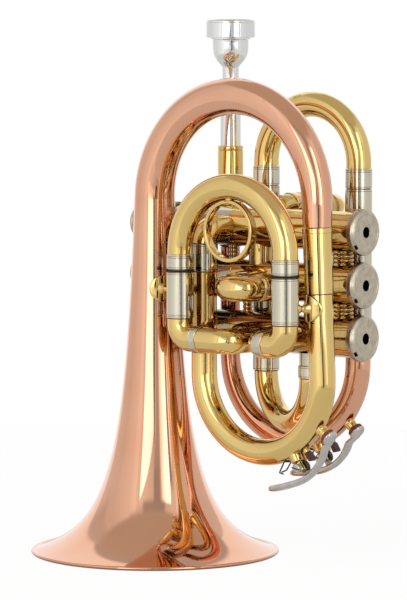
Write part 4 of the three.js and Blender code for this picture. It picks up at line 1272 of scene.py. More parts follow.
def slide_shape(
    route: Route, insert: float, ferrule: float, guide: Vector = Y_AXIS, has_brass_ferrules: bool = False
) -> Mesh:
    """Makes a slide and numbers its faces.

    Args:
        route: The slide's middle line.
        insert: How much of each leg is in the outer tube.
        ferrule: The ferrule's length.
        guide: What the section's first point leans to.
        has_brass_ferrules: Whether the ferrules are brass like the bow.

    Returns:
        The shape, with 0 on the bow's faces and 1 on those of nickel silver.
    """
    outside = slide_outside(route.length, insert, ferrule)
    shape = pipe(route, outside, guide=guide, bore=STOCK.inner_leg - STOCK.wall)
    edge = insert + (0.05 if has_brass_ferrules else ferrule + 0.2)
    start, heading = route.at(0)
    limit = (start + heading * edge).dot(heading)
    for face in shape.faces:
        face.material_index = 1 if face.calc_center_median().dot(heading) < limit else 0
    return shape


@dataclass
class ThirdSlide(Section):
    """The third valve slide on the player's left, with its finger ring, and the tubes to valve 3."""

    plane_y: float = -17.7
    left_x: float = 31.5
    spread: float = 65.0
    bow_z: float = 152.0
    sleeve_low: float = 119.9
    sleeve_top: float = 142.0
    tube_z: float = 109.8
    port_x: float = 62.0
    port_spread: float = 16.0
    casing_sink: float = 0.5
    travel: float = 15.0
    hold: float = 4.0
    seal: float = 0.5
    ferrule: float = 7.0
    band: float = 4.2
    band_groove: float = 0.12
    ring: float = 15.0
    ring_wall: float = 1.9
    ring_width: float = 4.6
    ring_x: float = 62.6

    def foot(self, x: float) -> Vector:
        """Gives the place at height 0 of an upright line in the slide's plane."""
        return Vector((x, self.plane_y, 0))

    def crook(self) -> None:
        """Builds the sliding U."""
        route = hairpin(self.foot(self.left_x), self.foot(self.left_x + self.spread), Z_AXIS,
                        self.sleeve_top - self.travel - self.hold, self.bow_z + self.spread / 2, step=4)
        shape = slide_shape(route, self.travel + self.hold + 2 * self.seal + 2 * STOCK.seam, self.ferrule)
        self.fit("third_slide_bow", shape, BRASS_AND_NICKEL, "third_slide_crook", body=Body.THIRD_SLIDE)

    def stop_ring(self, side: str, x: float) -> None:
        """Builds the rubber ring between a leg's ferrule and its outer tube.

        Args:
            side: The leg's side.
            x: Where the leg stands.
        """
        low, high = self.sleeve_top + STOCK.seam, self.sleeve_top + STOCK.seam + 2 * self.seal
        inner, outer = STOCK.inner_leg + 0.02, STOCK.sleeve + 0.2
        ring = turned(eased([(inner, low), (outer, low), (outer, high), (inner, high)], 0.4))
        self.fit(f"third_slide_stop_ring_{side}", moved(ring, x, self.plane_y), Finish.RUBBER,
                 f"third_slide_o_ring_{side}", body=Body.THIRD_SLIDE)

    def fixed_tubes(
        self, valves: ValveBlock, side: str, x: float, port: float, past_bend: float
    ) -> None:
        """Builds an outer tube and the elbows that run from it back to valve 3.

        Args:
            valves: The valves.
            side: The leg's side.
            x: Where the leg stands.
            port: Where the tube meets the valve.
            past_bend: How far past the bend the nickel band starts.
        """
        sleeve = upright_sleeve(self.sleeve_low, self.sleeve_top, (0.8, 1.6))
        self.fit(f"third_slide_sleeve_{side}", moved(sleeve, x, self.plane_y), Finish.NICKEL_SILVER,
                 f"third_slide_outer_{side}")
        top, bend = self.sleeve_low - STOCK.seam, STOCK.elbow_bend
        route = Route(
            (Vector((x, self.plane_y, top)), 0), (Vector((x, self.plane_y, self.tube_z)), bend),
            (Vector((port, self.plane_y, self.tube_z)), bend),
            (Vector((port, valves.left_side(self.casing_sink), self.tube_z)), 0), step=6,
        )
        start = top - self.tube_z - bend + math.pi / 2 * bend + past_bend
        end = start + self.band
        outside = grooved([(0, STOCK.crook), (start - 0.05, STOCK.crook)], start, end, STOCK.sleeve, (0.4,),
                          (0.4,), self.band_groove)
        shape = pipe(route, outside + [(end + 0.05, STOCK.crook)])
        (low, into), (high, out) = route.at(start), route.at(end)
        for face in shape.faces:
            middle = face.calc_center_median()
            on_band = (middle - low).dot(into) > -0.02 and (middle - high).dot(out) < 0.02
            face.material_index = 1 if on_band and (middle - low).length < 2 * STOCK.sleeve else 0
        self.fit(f"third_slide_tube_{side}", shape, BRASS_AND_NICKEL, f"third_slide_elbow_{side}")

    def finger_ring(self) -> None:
        """Builds the finger ring, a band with rounded edges soldered under the bow."""
        bow = self.spread / 2
        sink = math.sqrt((bow - STOCK.crook) ** 2 - (self.ring_x - self.left_x - bow) ** 2)
        z = self.bow_z + sink - self.ring - STOCK.seam / 2
        half, inner = self.ring_width / 2, self.ring - self.ring_wall
        outline = eased([(inner, -half), (self.ring, -half), (self.ring, half), (inner, half)], 0.7, arc=5)
        band = aimed(turned(outline, 72), Y_AXIS, Vector((self.ring_x, self.plane_y, z)))
        foot = knob([(0, 0), (3.0, 0), (2.2, 1.0), (2.6, 2.4), (0, 2.4)], 0.4, 32)
        foot = moved(foot, self.ring_x, self.plane_y, z + self.ring - 1.0)
        self.fit("third_slide_ring", together(band, foot), Finish.YELLOW_BRASS, "third_slide_finger_ring",
                 body=Body.THIRD_SLIDE)

    def build(self, valves: ValveBlock) -> None:
        """Builds the slide and its fixed tubes.

        Args:
            valves: The valves.
        """
        self.crook()
        right = self.left_x + self.spread
        for side, x, port, past_bend in (("left", self.left_x, self.port_x, 2.5),
                                         ("right", right, self.port_x + self.port_spread, 2.8)):
            self.stop_ring(side, x)
            self.fixed_tubes(valves, side, x, port, past_bend)
        self.finger_ring()


@dataclass
class ShortSlides(Section):
    """The slides of valves 2 and 1."""

    ferrule: float = 1.2
    casing_sink: float = 0.9
    second_x: float = 61.5
    second_spread: float = 15.0
    second_z: float = 135.2
    second_bow_y: float = -6.0
    second_sleeve_y: float = -4.3
    second_travel: float = 12.0
    first_x: float = 61.5
    first_spread: float = 19.0
    first_z: float = 172.3
    first_rise: float = 40.0
    first_sleeve_low_y: float = 40.4
    first_sleeve_y: float = 47.2
    first_bow_y: float = 48.8
    first_wall: float = 0.5

    def second(self, valves: ValveBlock) -> None:
        """Builds the second slide, a tight bow that points to the player's left.

        Args:
            valves: The valves.
        """
        half = self.second_spread / 2
        near, far = (Vector((self.second_x + way * half, 0, self.second_z)) for way in (-1, 1))
        start = self.second_sleeve_y + self.second_travel + self.ferrule * 2
        route = hairpin(near, far, Y_AXIS, start, self.second_bow_y - half, step=6)
        shape = slide_shape(route, start - self.second_sleeve_y + STOCK.seam, self.ferrule, Z_AXIS, True)
        self.fit("second_slide_bow", shape, BRASS_AND_NICKEL, "second_slide_crook", body=Body.SECOND_SLIDE)
        length = valves.left_side(self.casing_sink) - self.second_sleeve_y
        for side, foot in (("upper", near), ("lower", far)):
            sleeve = aimed(upright_sleeve(0, length), Y_AXIS, foot + Y_AXIS * self.second_sleeve_y)
            self.fit(f"second_slide_sleeve_{side}", sleeve, Finish.YELLOW_BRASS, f"second_slide_outer_{side}")

    def first(self, valves: ValveBlock) -> None:
        """Builds the first slide, which points to the player's right.

        Args:
            valves: The valves.
        """
        half = self.first_spread / 2
        near, far = (Vector((self.first_x + way * half, 0, self.first_z)) for way in (-1, 1))
        start = self.first_sleeve_low_y + self.ferrule
        route = hairpin(near, far, Y_AXIS, start, self.first_bow_y + half, step=6)
        shape = slide_shape(route, self.first_sleeve_y - start + STOCK.seam, self.ferrule, Z_AXIS, True)
        self.fit("first_slide_bow", shape, BRASS_AND_NICKEL, "first_slide_crook", body=Body.FIRST_SLIDE)
        rise = math.radians(self.first_rise)
        away = Vector((0, math.cos(rise), math.sin(rise)))
        climb = (self.first_z - valves.one_z) / math.sin(rise)
        sleeve = self.first_sleeve_y - self.first_sleeve_low_y
        for side, foot in (("upper", near), ("lower", far)):
            centre = Vector((foot.x, valves.plane_y, valves.one_z))
            route = Route(
                (centre + away * (valves.casing - self.casing_sink), 0),
                (centre + away * climb, STOCK.elbow_bend), (foot + Y_AXIS * self.first_sleeve_y, 0), step=6,
            )
            band = route.length - sleeve
            outside = grooved([(0, STOCK.knuckle), (band - STOCK.seam, STOCK.knuckle)], band, route.length,
                              STOCK.sleeve, (0.7,), (0.7,))
            tube = pipe(route, outside, wall=self.first_wall, guide=X_AXIS)
            self.fit(f"first_slide_sleeve_{side}", tube, Finish.YELLOW_BRASS, f"first_slide_outer_{side}")

    def build(self, valves: ValveBlock) -> None:
        """Builds both slides."""
        self.second(valves)
        self.first(valves)


@dataclass
class LeadSide(Section):
    """The leadpipe, its receiver, the mouthpiece, the tuning slide and the lower bow."""

    plane_y: float = 41.6
    left_x: float = 14.2
    tuning_left_x: float = 37.4
    tuning_right_x: float = 94.8
    bow_z: float = 97.5
    top_z: float = 151.0
    right_top_z: float = 112.0
    start_tube: float = 5.0
    end_tube: float = 6.25
    receiver_top: float = 201.3
    receiver: float = 6.45
    sleeve_top: float = 182.0
    ferrule_top: float = 192.1
    ferrule_gaps: float = 0.6
    tuning_bow_z: float = 194.0
    travel: float = 25.0
    hold: float = 4.0
    lower_bow_z: float = 89.6
    lower_tube: float = 6.0
    lower_ferrule_low: float = 90.4
    lower_ferrule_top: float = 96.4
    lower_port_x: float = 79.4
    casing_sink: float = 1.1
    mouth_top: float = 264.2
    insert: float = 24.0
    rim: float = 12.6
    mouth_sharp: float = 24.0
    receiver_sharp: float = 26.0
    sides: int = 44

    @property
    def bend(self) -> float:
        """The leadpipe bow's radius."""
        return (self.tuning_right_x - self.left_x) / 2

    def foot(self, x: float) -> Vector:
        """Gives the place at height 0 of an upright line in the side's plane."""
        return Vector((x, self.plane_y, 0))

    def leadpipe(self) -> None:
        """Builds the rose brass leadpipe, which widens on its way round to the tuning slide."""
        route = hairpin(self.foot(self.left_x), self.foot(self.tuning_right_x), Z_AXIS,
                        self.top_z - STOCK.seam, self.bow_z - self.bend, step=4, end=self.right_top_z)
        bow_end = route.length - (self.right_top_z - self.bow_z) - self.bend
        outside = [(0, self.start_tube), (self.top_z - self.bow_z, self.start_tube), (bow_end, self.end_tube)]
        self.fit("leadpipe_of_rose_brass", pipe(route, outside, self.sides), Finish.ROSE_BRASS, "leadpipe")

    def receiver_piece(self) -> None:
        """Builds the mouthpiece receiver with its collar."""
        r, low, top, tube = self.receiver, self.top_z, self.receiver_top, self.start_tube
        end = top - self.insert
        outline = [
            (tube - STOCK.wall, low), (tube + 0.5, low), (tube + 0.8, low + 2), (r, low + 11),
            (r, top - 2.45), (r - 0.25, top - 2.35), (r - 0.25, top - 2.05), (r, top - 1.95),
            (r, top - 0.35), (r - 0.35, top), (5.65, top), (5.05, end - 0.3), (tube - STOCK.wall, end - 6),
        ]
        shape = moved(turned(eased(outline, 0.12)), self.left_x, self.plane_y)
        self.fit("receiver_with_collar", shape, Finish.YELLOW_BRASS, "mouthpiece_receiver",
                 sharp=self.receiver_sharp)

    def mouthpiece(self) -> None:
        """Builds the silver mouthpiece: rounded rim, stepped cup, throat, backbore and taper shank."""
        top, rim, seat = self.mouth_top, self.rim, self.receiver_top
        lip = arc_points((rim - 2.7, top - 1.3), (1.8, 1.3), 180, -90, 7)
        lip += arc_points((rim - 1.4, top - 1.4), (1.4, 1.4), 90, -90, 7)
        outside = [
            (rim, 1.7), (rim, 8.75), (rim, 9.1), (10.4, 9.2), (10.4, 9.9), (9.3, 10.2), (9.25, 12.0),
            (9.2, 14.5), (9.0, 16.6), (8.5, 18.5), (7.6, 20.2), (6.4, 21.6), (5.2, 22.7), (4.45, 23.5),
            (4.2, 24.6), (4.2, 32.0),
        ]
        shank = [(5.2, seat + 17.5), (5.3, seat), (4.75, seat - self.insert), (4.15, seat - self.insert)]
        inside = [(1.9, 27.8), (1.85, 15.4), (3.4, 14.2), (5.8, 11.8), (7.2, 8.6), (rim - 4.6, 3.6)]
        body = [(r, top - depth) for r, depth in outside] + shank + [(r, top - depth) for r, depth in inside]
        shape = moved(turned(lip + eased(body, 0.2), 80), self.left_x, self.plane_y)
        self.fit("silver_mouthpiece", shape, Finish.SILVER, "mouthpiece", body=Body.MOUTHPIECE,
                 sharp=self.mouth_sharp)

    def tuning_slide(self) -> None:
        """Builds the main tuning slide and its two long outer tubes."""
        bow = (self.tuning_right_x - self.tuning_left_x) / 2
        route = hairpin(self.foot(self.tuning_left_x), self.foot(self.tuning_right_x), Z_AXIS,
                        self.sleeve_top - self.travel - self.hold, self.tuning_bow_z + bow, step=4)
        ferrule = self.ferrule_top - self.sleeve_top - self.ferrule_gaps
        shape = slide_shape(route, self.travel + self.hold + STOCK.seam, ferrule)
        self.fit("tuning_slide_bow", shape, BRASS_AND_NICKEL, "tuning_slide_crook", body=Body.TUNING_SLIDE)
        for side, x, low in (("right", self.tuning_right_x, self.right_top_z + STOCK.seam),
                             ("left", self.tuning_left_x, self.lower_ferrule_low)):
            sleeve = moved(upright_sleeve(low, self.sleeve_top), x, self.plane_y)
            self.fit(f"tuning_sleeve_{side}", sleeve, Finish.NICKEL_SILVER, f"tuning_slide_outer_{side}")

    def lower_bow(self, valves: ValveBlock) -> None:
        """Builds the bow from the tuning slide to valve 3 and its stepped ferrule.

        Args:
            valves: The valves.
        """
        start, end = self.foot(self.tuning_left_x), Vector((self.lower_port_x, valves.plane_y, 0))
        low, top, tube = self.lower_ferrule_low, self.lower_ferrule_top, self.lower_tube
        crown = self.lower_bow_z - (start - end).length / 2
        route = hairpin(start, end, Z_AXIS, low - STOCK.seam, crown, step=5)
        bow = pipe(route, [(0, tube)], self.sides)
        self.fit("lower_bow_to_valve_3", bow, Finish.YELLOW_BRASS, "lower_bow")
        casing_low, inner = valves.z(3) - valves.casing + self.casing_sink, tube - STOCK.wall
        steps = [(tube, top + 0.1), (tube, casing_low), (inner, casing_low), (inner, low)]
        ferrule = moved(upright_sleeve(low, top, inside=steps, sides=self.sides), end.x, end.y)
        valves.keep_out(ferrule, 3, -Z_AXIS)
        self.fit("lower_bow_stepped_ferrule", ferrule, Finish.NICKEL_SILVER, "lower_bow_ferrule")

    def build(self, valves: ValveBlock) -> None:
        """Builds the whole side.

        Args:
            valves: The valves.
        """
        self.leadpipe()
        self.receiver_piece()
        self.mouthpiece()
        self.tuning_slide()
        self.lower_bow(valves)


@dataclass
class Braces(Section):
    """The turned ball braces, whose round feet are soldered on the tubes."""

    foot: float = 6.6
    foot_thick: float = 0.9
    foot_grid: float = 1.2
    tube_share: float = 0.98
    ball: float = 2.7
    post: float = 1.5
    post_room: float = 3.4
    bell_z: float = 132.2
    branch_z: float = 127.2
    valve_x: float = 86.0
    short_ball: tuple[float, float] = (2.1, 1.7)
    short_balls: tuple[float, float] = (2.6, 5.9)

    def foot_on_tube(self, tube_radius: float) -> Mesh:
        """Makes a thin round foot, curved round a tube that runs along X below it, facing +Z.

        Args:
            tube_radius: The tube's outside radius.

        Returns:
            The shape, whose tube axis is at Z = -tube_radius.
        """
        thick, limit = self.foot_thick, tube_radius * self.tube_share
        shape = knob([(0, 0), (self.foot, 0), (self.foot, thick), (0, thick + 0.25)], 0.3, 48)
        long_edges = [e for e in shape.edges if e.calc_length() > self.foot_grid]
        bmesh.ops.subdivide_edges(shape, edges=long_edges, cuts=4, use_grid_fill=True)
        for vert in shape.verts:
            y = max(-limit, min(limit, vert.co.y))
            vert.co.z += math.sqrt(tube_radius**2 - y * y) - tube_radius
        return shape

    def ball_brace(
        self, name: str, node: str, start: Vector, end: Vector, tube: float
    ) -> None:
        """Builds one brace from a foot on one upright tube to a small foot on the other.

        Args:
            name: The piece's name.
            node: The CAD node that it replaces.
            start: The middle of the first tube.
            end: The middle of the second tube.
            tube: The first tube's outside radius.
        """
        run = end - start
        heading = run.normalized()
        length = run.length - tube - STOCK.sleeve
        ball_z = max(length - self.ball, self.post_room + self.ball)
        tip = max(length, ball_z + self.ball)
        outline = [(0, 0.2), (self.foot * 0.55, 0.2), (self.foot * 0.4, 1.1), (self.post * 1.35, 2.0),
                   (self.post, 3.0)]
        for radius, height in arc_points((0, ball_z), (self.ball, self.ball), -75, 150, 10):
            outline.append((max(self.post * 0.98, radius), height))
        outline += [(self.post, tip), (2.6, tip + 0.35), (0, length + 1.6)]
        shape = together(self.foot_on_tube(tube), knob(outline, 0.3, 36))
        side = Z_AXIS.cross(heading).normalized()
        lie = heading.cross(side)
        put(shape, from_columns(-lie if lie.dot(Z_AXIS) < 0 else lie, side, heading, start + heading * tube))
        self.fit(name, shape, Finish.YELLOW_BRASS, node)

    def double_brace(self, branch: Branch, valves: ValveBlock) -> None:
        """Builds the short brace with two balls from valve 1 to the branch.

        Args:
            branch: The branch.
            valves: The valves.
        """
        start = Vector((self.valve_x, valves.plane_y, valves.one_z))
        run = branch.leg(valves.one_z) - start
        near, far = valves.casing, run.length - STOCK.branch_start
        outline = [(0, near - 0.45), (2.9, near - 0.45), (2.9, near + 0.4), (1.2, near + 0.9)]
        for rise in self.short_balls:
            outline += arc_points((0, near + rise), self.short_ball, -70, 140, 8)
        outline += [(1.2, far - 0.6), (2.2, far + 0.1), (0, far + 0.4)]
        brace = aimed(turned(outline, 32), run.normalized(), start)
        valves.keep_out(brace, 1, -Y_AXIS)
        self.fit("double_ball_brace", brace, Finish.YELLOW_BRASS, "brace_branch_to_valve")

    def build(
        self, bell: BellSection, branch: Branch, valves: ValveBlock, third: ThirdSlide
    ) -> None:
        """Builds the three braces.

        Args:
            bell: The bell.
            branch: The branch.
            valves: The valves.
            third: The third slide.
        """
        left = third.foot(third.left_x) + Z_AXIS * self.bell_z
        right = third.foot(third.left_x + third.spread) + Z_AXIS * self.branch_z
        self.ball_brace("ball_brace_to_bell", "brace_bell_to_third_slide", Z_AXIS * self.bell_z, left,
                        bell.radius(self.bell_z))
        self.ball_brace("ball_brace_to_branch", "brace_branch_to_third_slide",
                        branch.leg(self.branch_z), right, STOCK.branch_seam)
        self.double_brace(branch, valves)


@dataclass(frozen=True)
class KeyBow:
    """A bow that carries a water key, in the plane Y = y."""

    number: int
    x: float
    y: float
    z: float
    bend: float
    tube: float
    body: Body
    turn: float = 0.0

    def surface(self, x: float, y: float) -> float:
        """Gives how high the tube's outside is over its crown, at a place along and across it."""
        reach = self.bend + math.sqrt(self.tube**2 - y * y)
        return math.sqrt(reach**2 - x * x) - self.bend - self.tube


@dataclass
class WaterKeys(Section):
    """The two water keys: nipple, posts, screw, lever, cork, springs and stop block."""

    cup_angle: float = math.radians(33)
    pivot_angle: float = math.radians(60)
    stop_angle: float = math.radians(60) - 0.155
    lead_key_turn: float = math.radians(7.5)
    branch_tube: float = 6.5
    pivot_height: float = 5.6
    nipple_height: float = 3.4
    cork: float = 3.9
    cork_thick: float = 1.9
    post_y: float = -1.2
    far_post_y: float = 4.3
    far_post_share: float = 0.5
    barrel: float = 2.2
    arm_steps: int = 66
    arm_tip_steps: float = 4.0
    arm_tip_least: float = 0.03
    screw_slot_turn: float = math.radians(40)
    wire: float = 0.36
    coil_steps: int = 30
    coil_start: float = -90.0
    coil_turn: float = -13.0
    coil_pitch: float = 0.035
    wire_bend: float = 0.7

    def lie(self, bow: KeyBow, angle: float, height: float) -> Matrix:
        """Gives the frame that stands on a bow: +Z outwards, +X along it towards the finger tip.

        Args:
            bow: The bow.
            angle: The place round the bow, below the level.
            height: The height over the tube's outside.

        Returns:
            The frame.
        """
        angle += bow.turn
        out = Vector((math.cos(angle), 0, -math.sin(angle)))
        along = Vector((-math.sin(angle), 0, -math.cos(angle)))
        place = Vector((bow.x, bow.y, bow.z)) + out * (bow.bend + bow.tube + height)
        return from_columns(along, out.cross(along), out, place)

    def across(self, outline: Pairs) -> Mesh:
        """Spins an outline whose heights run across the bow, towards the player's left."""
        return put(turned(outline, 32), Matrix.Rotation(math.pi / 2, 4, "X"))

    def nipple(self, bow: KeyBow) -> None:
        """Builds the drilled nipple, which is soldered on the bow.

        Args:
            bow: The bow that carries the key.
        """
        top = self.nipple_height
        outline = [(1.5, -1.2), (3.1, -0.9), (3.1, 0.6), (2.75, 0.9), (2.75, top - 0.3), (2.45, top),
                   (1.5, top)]
        shape = put(turned(eased(outline, 0.2), 36), self.lie(bow, self.cup_angle, 0))
        self.fit(f"water_key_nipple_{bow.number}", shape, Finish.YELLOW_BRASS)

    def arm(self, top: Vector, lean: Vector) -> Mesh:
        """Makes the banana-shaped arm, a smooth curve through its stations with a round tip.

        Args:
            top: The middle of the cup's dome, in the pivot's frame.
            lean: The arm's heading over the cup.

        Returns:
            The shape, in the pivot's frame.
        """
        spots = ((-17.4, -2.0), (-14.4, 0.6), (-11.0, 2.8), (-6.5, 4.6), (-2.5, 5.4), (1.5, 5.6), (5.5, 5.2),
                 (12.5, 3.7), (18.0, 2.2), (23.2, 0.4))
        points = [top - lean * 1.2, top + lean * 1.8] + [Vector((x, 0, z)) for x, z in spots]
        widths = (1.5, 2.2, 2.5, 2.4, 2.1, 2.1, 2.2, 2.3, 2.3, 2.4, 2.4, 2.3)
        depths = (0.6, 0.9, 1.1, 1.25, 1.3, 1.35, 1.45, 1.55, 1.65, 1.75, 1.7, 1.55)
        last = len(points) - 1
        stops = []
        for k in range(self.arm_steps + 1):
            t = k / self.arm_steps * last
            i = min(int(t), last - 1)
            u = t - i
            p0, p1, p2, p3 = (points[max(0, min(last, i + j))] for j in (-1, 0, 1, 2))
            speed, curve, twist = p2 - p0, p0 * 2 - p1 * 5 + p2 * 4 - p3, p1 * 3 - p0 - p2 * 3 + p3
            point = (p1 * 2 + speed * u + curve * u**2 + twist * u**3) / 2
            heading = (speed + curve * 2 * u + twist * 3 * u**2).normalized()
            short = max(0.0, 1 - (self.arm_steps - k) / self.arm_tip_steps)
            tip = math.sqrt(max(self.arm_tip_least, 1 - short**2))
            wide, deep = ((sizes[i] * (1 - u) + sizes[i + 1] * u) * tip for sizes in (widths, depths))
            stops.append((point, heading, wide, deep))
        return swept(frames_along(stops, Y_AXIS), 24, squareness=0.4)

    def lever(self, bow: KeyBow) -> None:
        """Builds the lever: domed cup, arm over the pivot, barrel and web, and the cup's cork.

        Args:
            bow: The bow that carries the key.
        """
        pivot = self.lie(bow, self.pivot_angle, self.pivot_height)
        seat = self.lie(bow, self.cup_angle, self.nipple_height + STOCK.seam)
        r, thick = self.cork + 0.3, self.cork_thick
        cup_lie = pivot.inverted() @ seat
        outline = [(0, thick + 0.05), (r, thick + 0.05), (r, thick + 0.7), (r - 0.9, thick + 1.7),
                   (r - 2.4, thick + 2.3), (0, thick + 2.5)]
        cup = put(knob(outline, 0.4, 44, arc=4), cup_lie)
        arm = self.arm(cup_lie @ Vector((0, 0, thick + 1.5)), cup_lie.to_3x3() @ X_AXIS)
        near, far = -self.post_y - self.barrel - 0.25, -self.far_post_y + 1.5
        barrel = self.across(eased([(1.15, far), (self.barrel, far), (self.barrel, near), (1.15, near)], 0.3))
        web = block((3.0, 2.2, 4.2), (0, 1.6, 2.9), 0.3)
        self.fit(f"water_key_arm_{bow.number}", put(together(cup, arm, barrel, web), pivot),
                 Finish.TUMBLED_SILVER, f"water_key_lever_{bow.number}", body=bow.body)
        r = self.cork
        cork = knob([(0, 0.05), (r - 0.1, 0.05), (r, thick * 0.5), (r, thick), (0, thick)], 0.3, 40)
        self.fit(f"water_key_pad_{bow.number}", put(cork, seat), Finish.CORK, f"water_key_cork_{bow.number}",
                 body=bow.body)

    def post(self, bow: KeyBow, y: float, share: float) -> Mesh:
        """Makes a turned post in the pivot's frame: a fat foot on the tube, a neck and a flared head.

        Args:
            bow: The bow that carries it.
            y: Where its axis stands across the bow.
            share: How thick it is, as a share of the near post.

        Returns:
            The shape.
        """
        low = -self.pivot_height
        outline = ((0, low - 1), (3.0, low - 1), (3.0, low + 2.2), (2.5, low + 2.6), (1.9, low + 3.0),
                   (1.85, low + 3.8), (2.1, -0.8), (2.35, 0.3), (2.35, 1.5), (1.9, 2.0), (0, 2.1))
        shape = moved(knob([(r * share, z) for r, z in outline], 0.3, 44), y=y)
        for vert in shape.verts:
            if vert.co.z < low:
                vert.co.z = low + bow.surface(vert.co.x, vert.co.y) - 0.3
        return shape

    def saddle(self, bow: KeyBow) -> None:
        """Builds the two posts, the slotted screw through them and the stop block before them.

        Args:
            bow: The bow that carries the key.
        """
        pivot = self.lie(bow, self.pivot_angle, self.pivot_height)
        far_post = self.post(bow, self.far_post_y, self.far_post_share)
        posts = together(self.post(bow, self.post_y, 1.0), far_post)
        self.fit(f"water_key_bracket_{bow.number}", put(posts, pivot), Finish.YELLOW_BRASS,
                 f"water_key_saddle_{bow.number}")
        outline = [(0, -5.4), (1.05, -5.4), (1.05, 3.6), (2.35, 3.6), (2.35, 4.6), (1.7, 5.1), (0, 5.2)]
        screw = put(self.across(eased(outline, 0.2, is_loop=False)), pivot)
        self.fit(f"water_key_screw_{bow.number}", screw, Finish.TUMBLED_SILVER)
        screw_slot = block((4.4, 0.8, 0.5), (0, -5.1, 0), 0.05, 1)
        put(screw_slot, pivot @ Matrix.Rotation(self.screw_slot_turn, 4, "Y"))
        self.fit(f"water_key_screw_slot_{bow.number}", screw_slot, Finish.SPRING_STEEL)
        stop = self.lie(bow, self.stop_angle, 0)
        seat = knob([(0, -0.6), (1.8, -0.6), (1.8, 1.4), (0, 1.4)], 0.3, 28)
        self.fit(f"stop_block_seat_{bow.number}", put(seat, stop), Finish.YELLOW_BRASS)
        pad = block((1.8, 4.8, 4.6), (0, 0.3, 3.6), 0.35)
        self.fit(f"stop_block_{bow.number}", put(pad, stop), Finish.STOP_BLOCK)

    def spring(self, bow: KeyBow) -> None:
        """Builds the two springs on the barrel: each leg bears on the bow and ends in a free hook.

        Args:
            bow: The bow that carries the key.
        """
        coil = self.barrel + self.wire + 0.05
        bearing = self.wire + 0.04 - self.pivot_height
        legs = (
            (0.75, 1, ((5.2, 0.4), (6.0, -3.0)), ((11.4, -3.0, -3.0), (12.0, 0.1, -2.2))),
            (3.0, -1, ((5.4, 1.2),), ((9.9, 1.0, -3.2), (10.5, -2.2, -2.8))),
        )
        wires = []
        for y, way, on_tube, free in legs:
            turns = arc_points((0, 0), (coil, coil), self.coil_start, self.coil_turn * self.coil_steps,
                               self.coil_steps)
            path = [Vector((x, y + way * self.coil_pitch * k, z)) for k, (x, z) in enumerate(turns)][::-1]
            corners = [Vector((px, py, bearing + bow.surface(px, py))) for px, py in on_tube]
            corners += [Vector(spot) for spot in free]
            route = Route((Vector((0, y, -coil)), 0), *((corner, self.wire_bend) for corner in corners[:-1]),
                          (corners[-1], 0), step=15)
            path += [route.at(mark)[0] for mark in route.marks[1:]]
            ahead = path[1:] + path[-1:]
            stops = [(point, (after - before).normalized(), self.wire, self.wire)
                     for before, point, after in zip(path[:1] + path, path, ahead)]
            wires.append(swept(frames_along(stops, Z_AXIS), 12))
        shape = put(together(*wires), self.lie(bow, self.pivot_angle, self.pivot_height))
        self.fit(f"water_key_spring_{bow.number}", shape, Finish.SPRING_STEEL)

    def build(self, branch: Branch, lead: LeadSide) -> None:
        """Builds both keys.

        Args:
            branch: The branch, which carries the first key.
            lead: The leadpipe's side, which carries the second key.
        """
        for bow in (
            KeyBow(1, branch.port_x + branch.bend, 0, branch.bow_z, branch.bend, self.branch_tube,
                   Body.KEY_1),
            KeyBow(2, lead.left_x + lead.bend, lead.plane_y, lead.bow_z, lead.bend, lead.end_tube, Body.KEY_2,
                   turn=self.lead_key_turn),
        ):
            self.nipple(bow)
            self.lever(bow)
            self.saddle(bow)
            self.spring(bow)


@dataclass(frozen=True)
class Panel:
    """A patch of the light tent, by the direction in which the trumpet sees it, in degrees.

    Azimuths are 0 towards the camera and grow to the image's right. A level of 1 is white.
    """

    left: float
    right: float
    low: float
    high: float
    left_level: float
    right_level: float
    left_flare: float = 0.0
    right_flare: float = 0.0
    soft_side: float = 2.0
    soft_end: float = 4.0


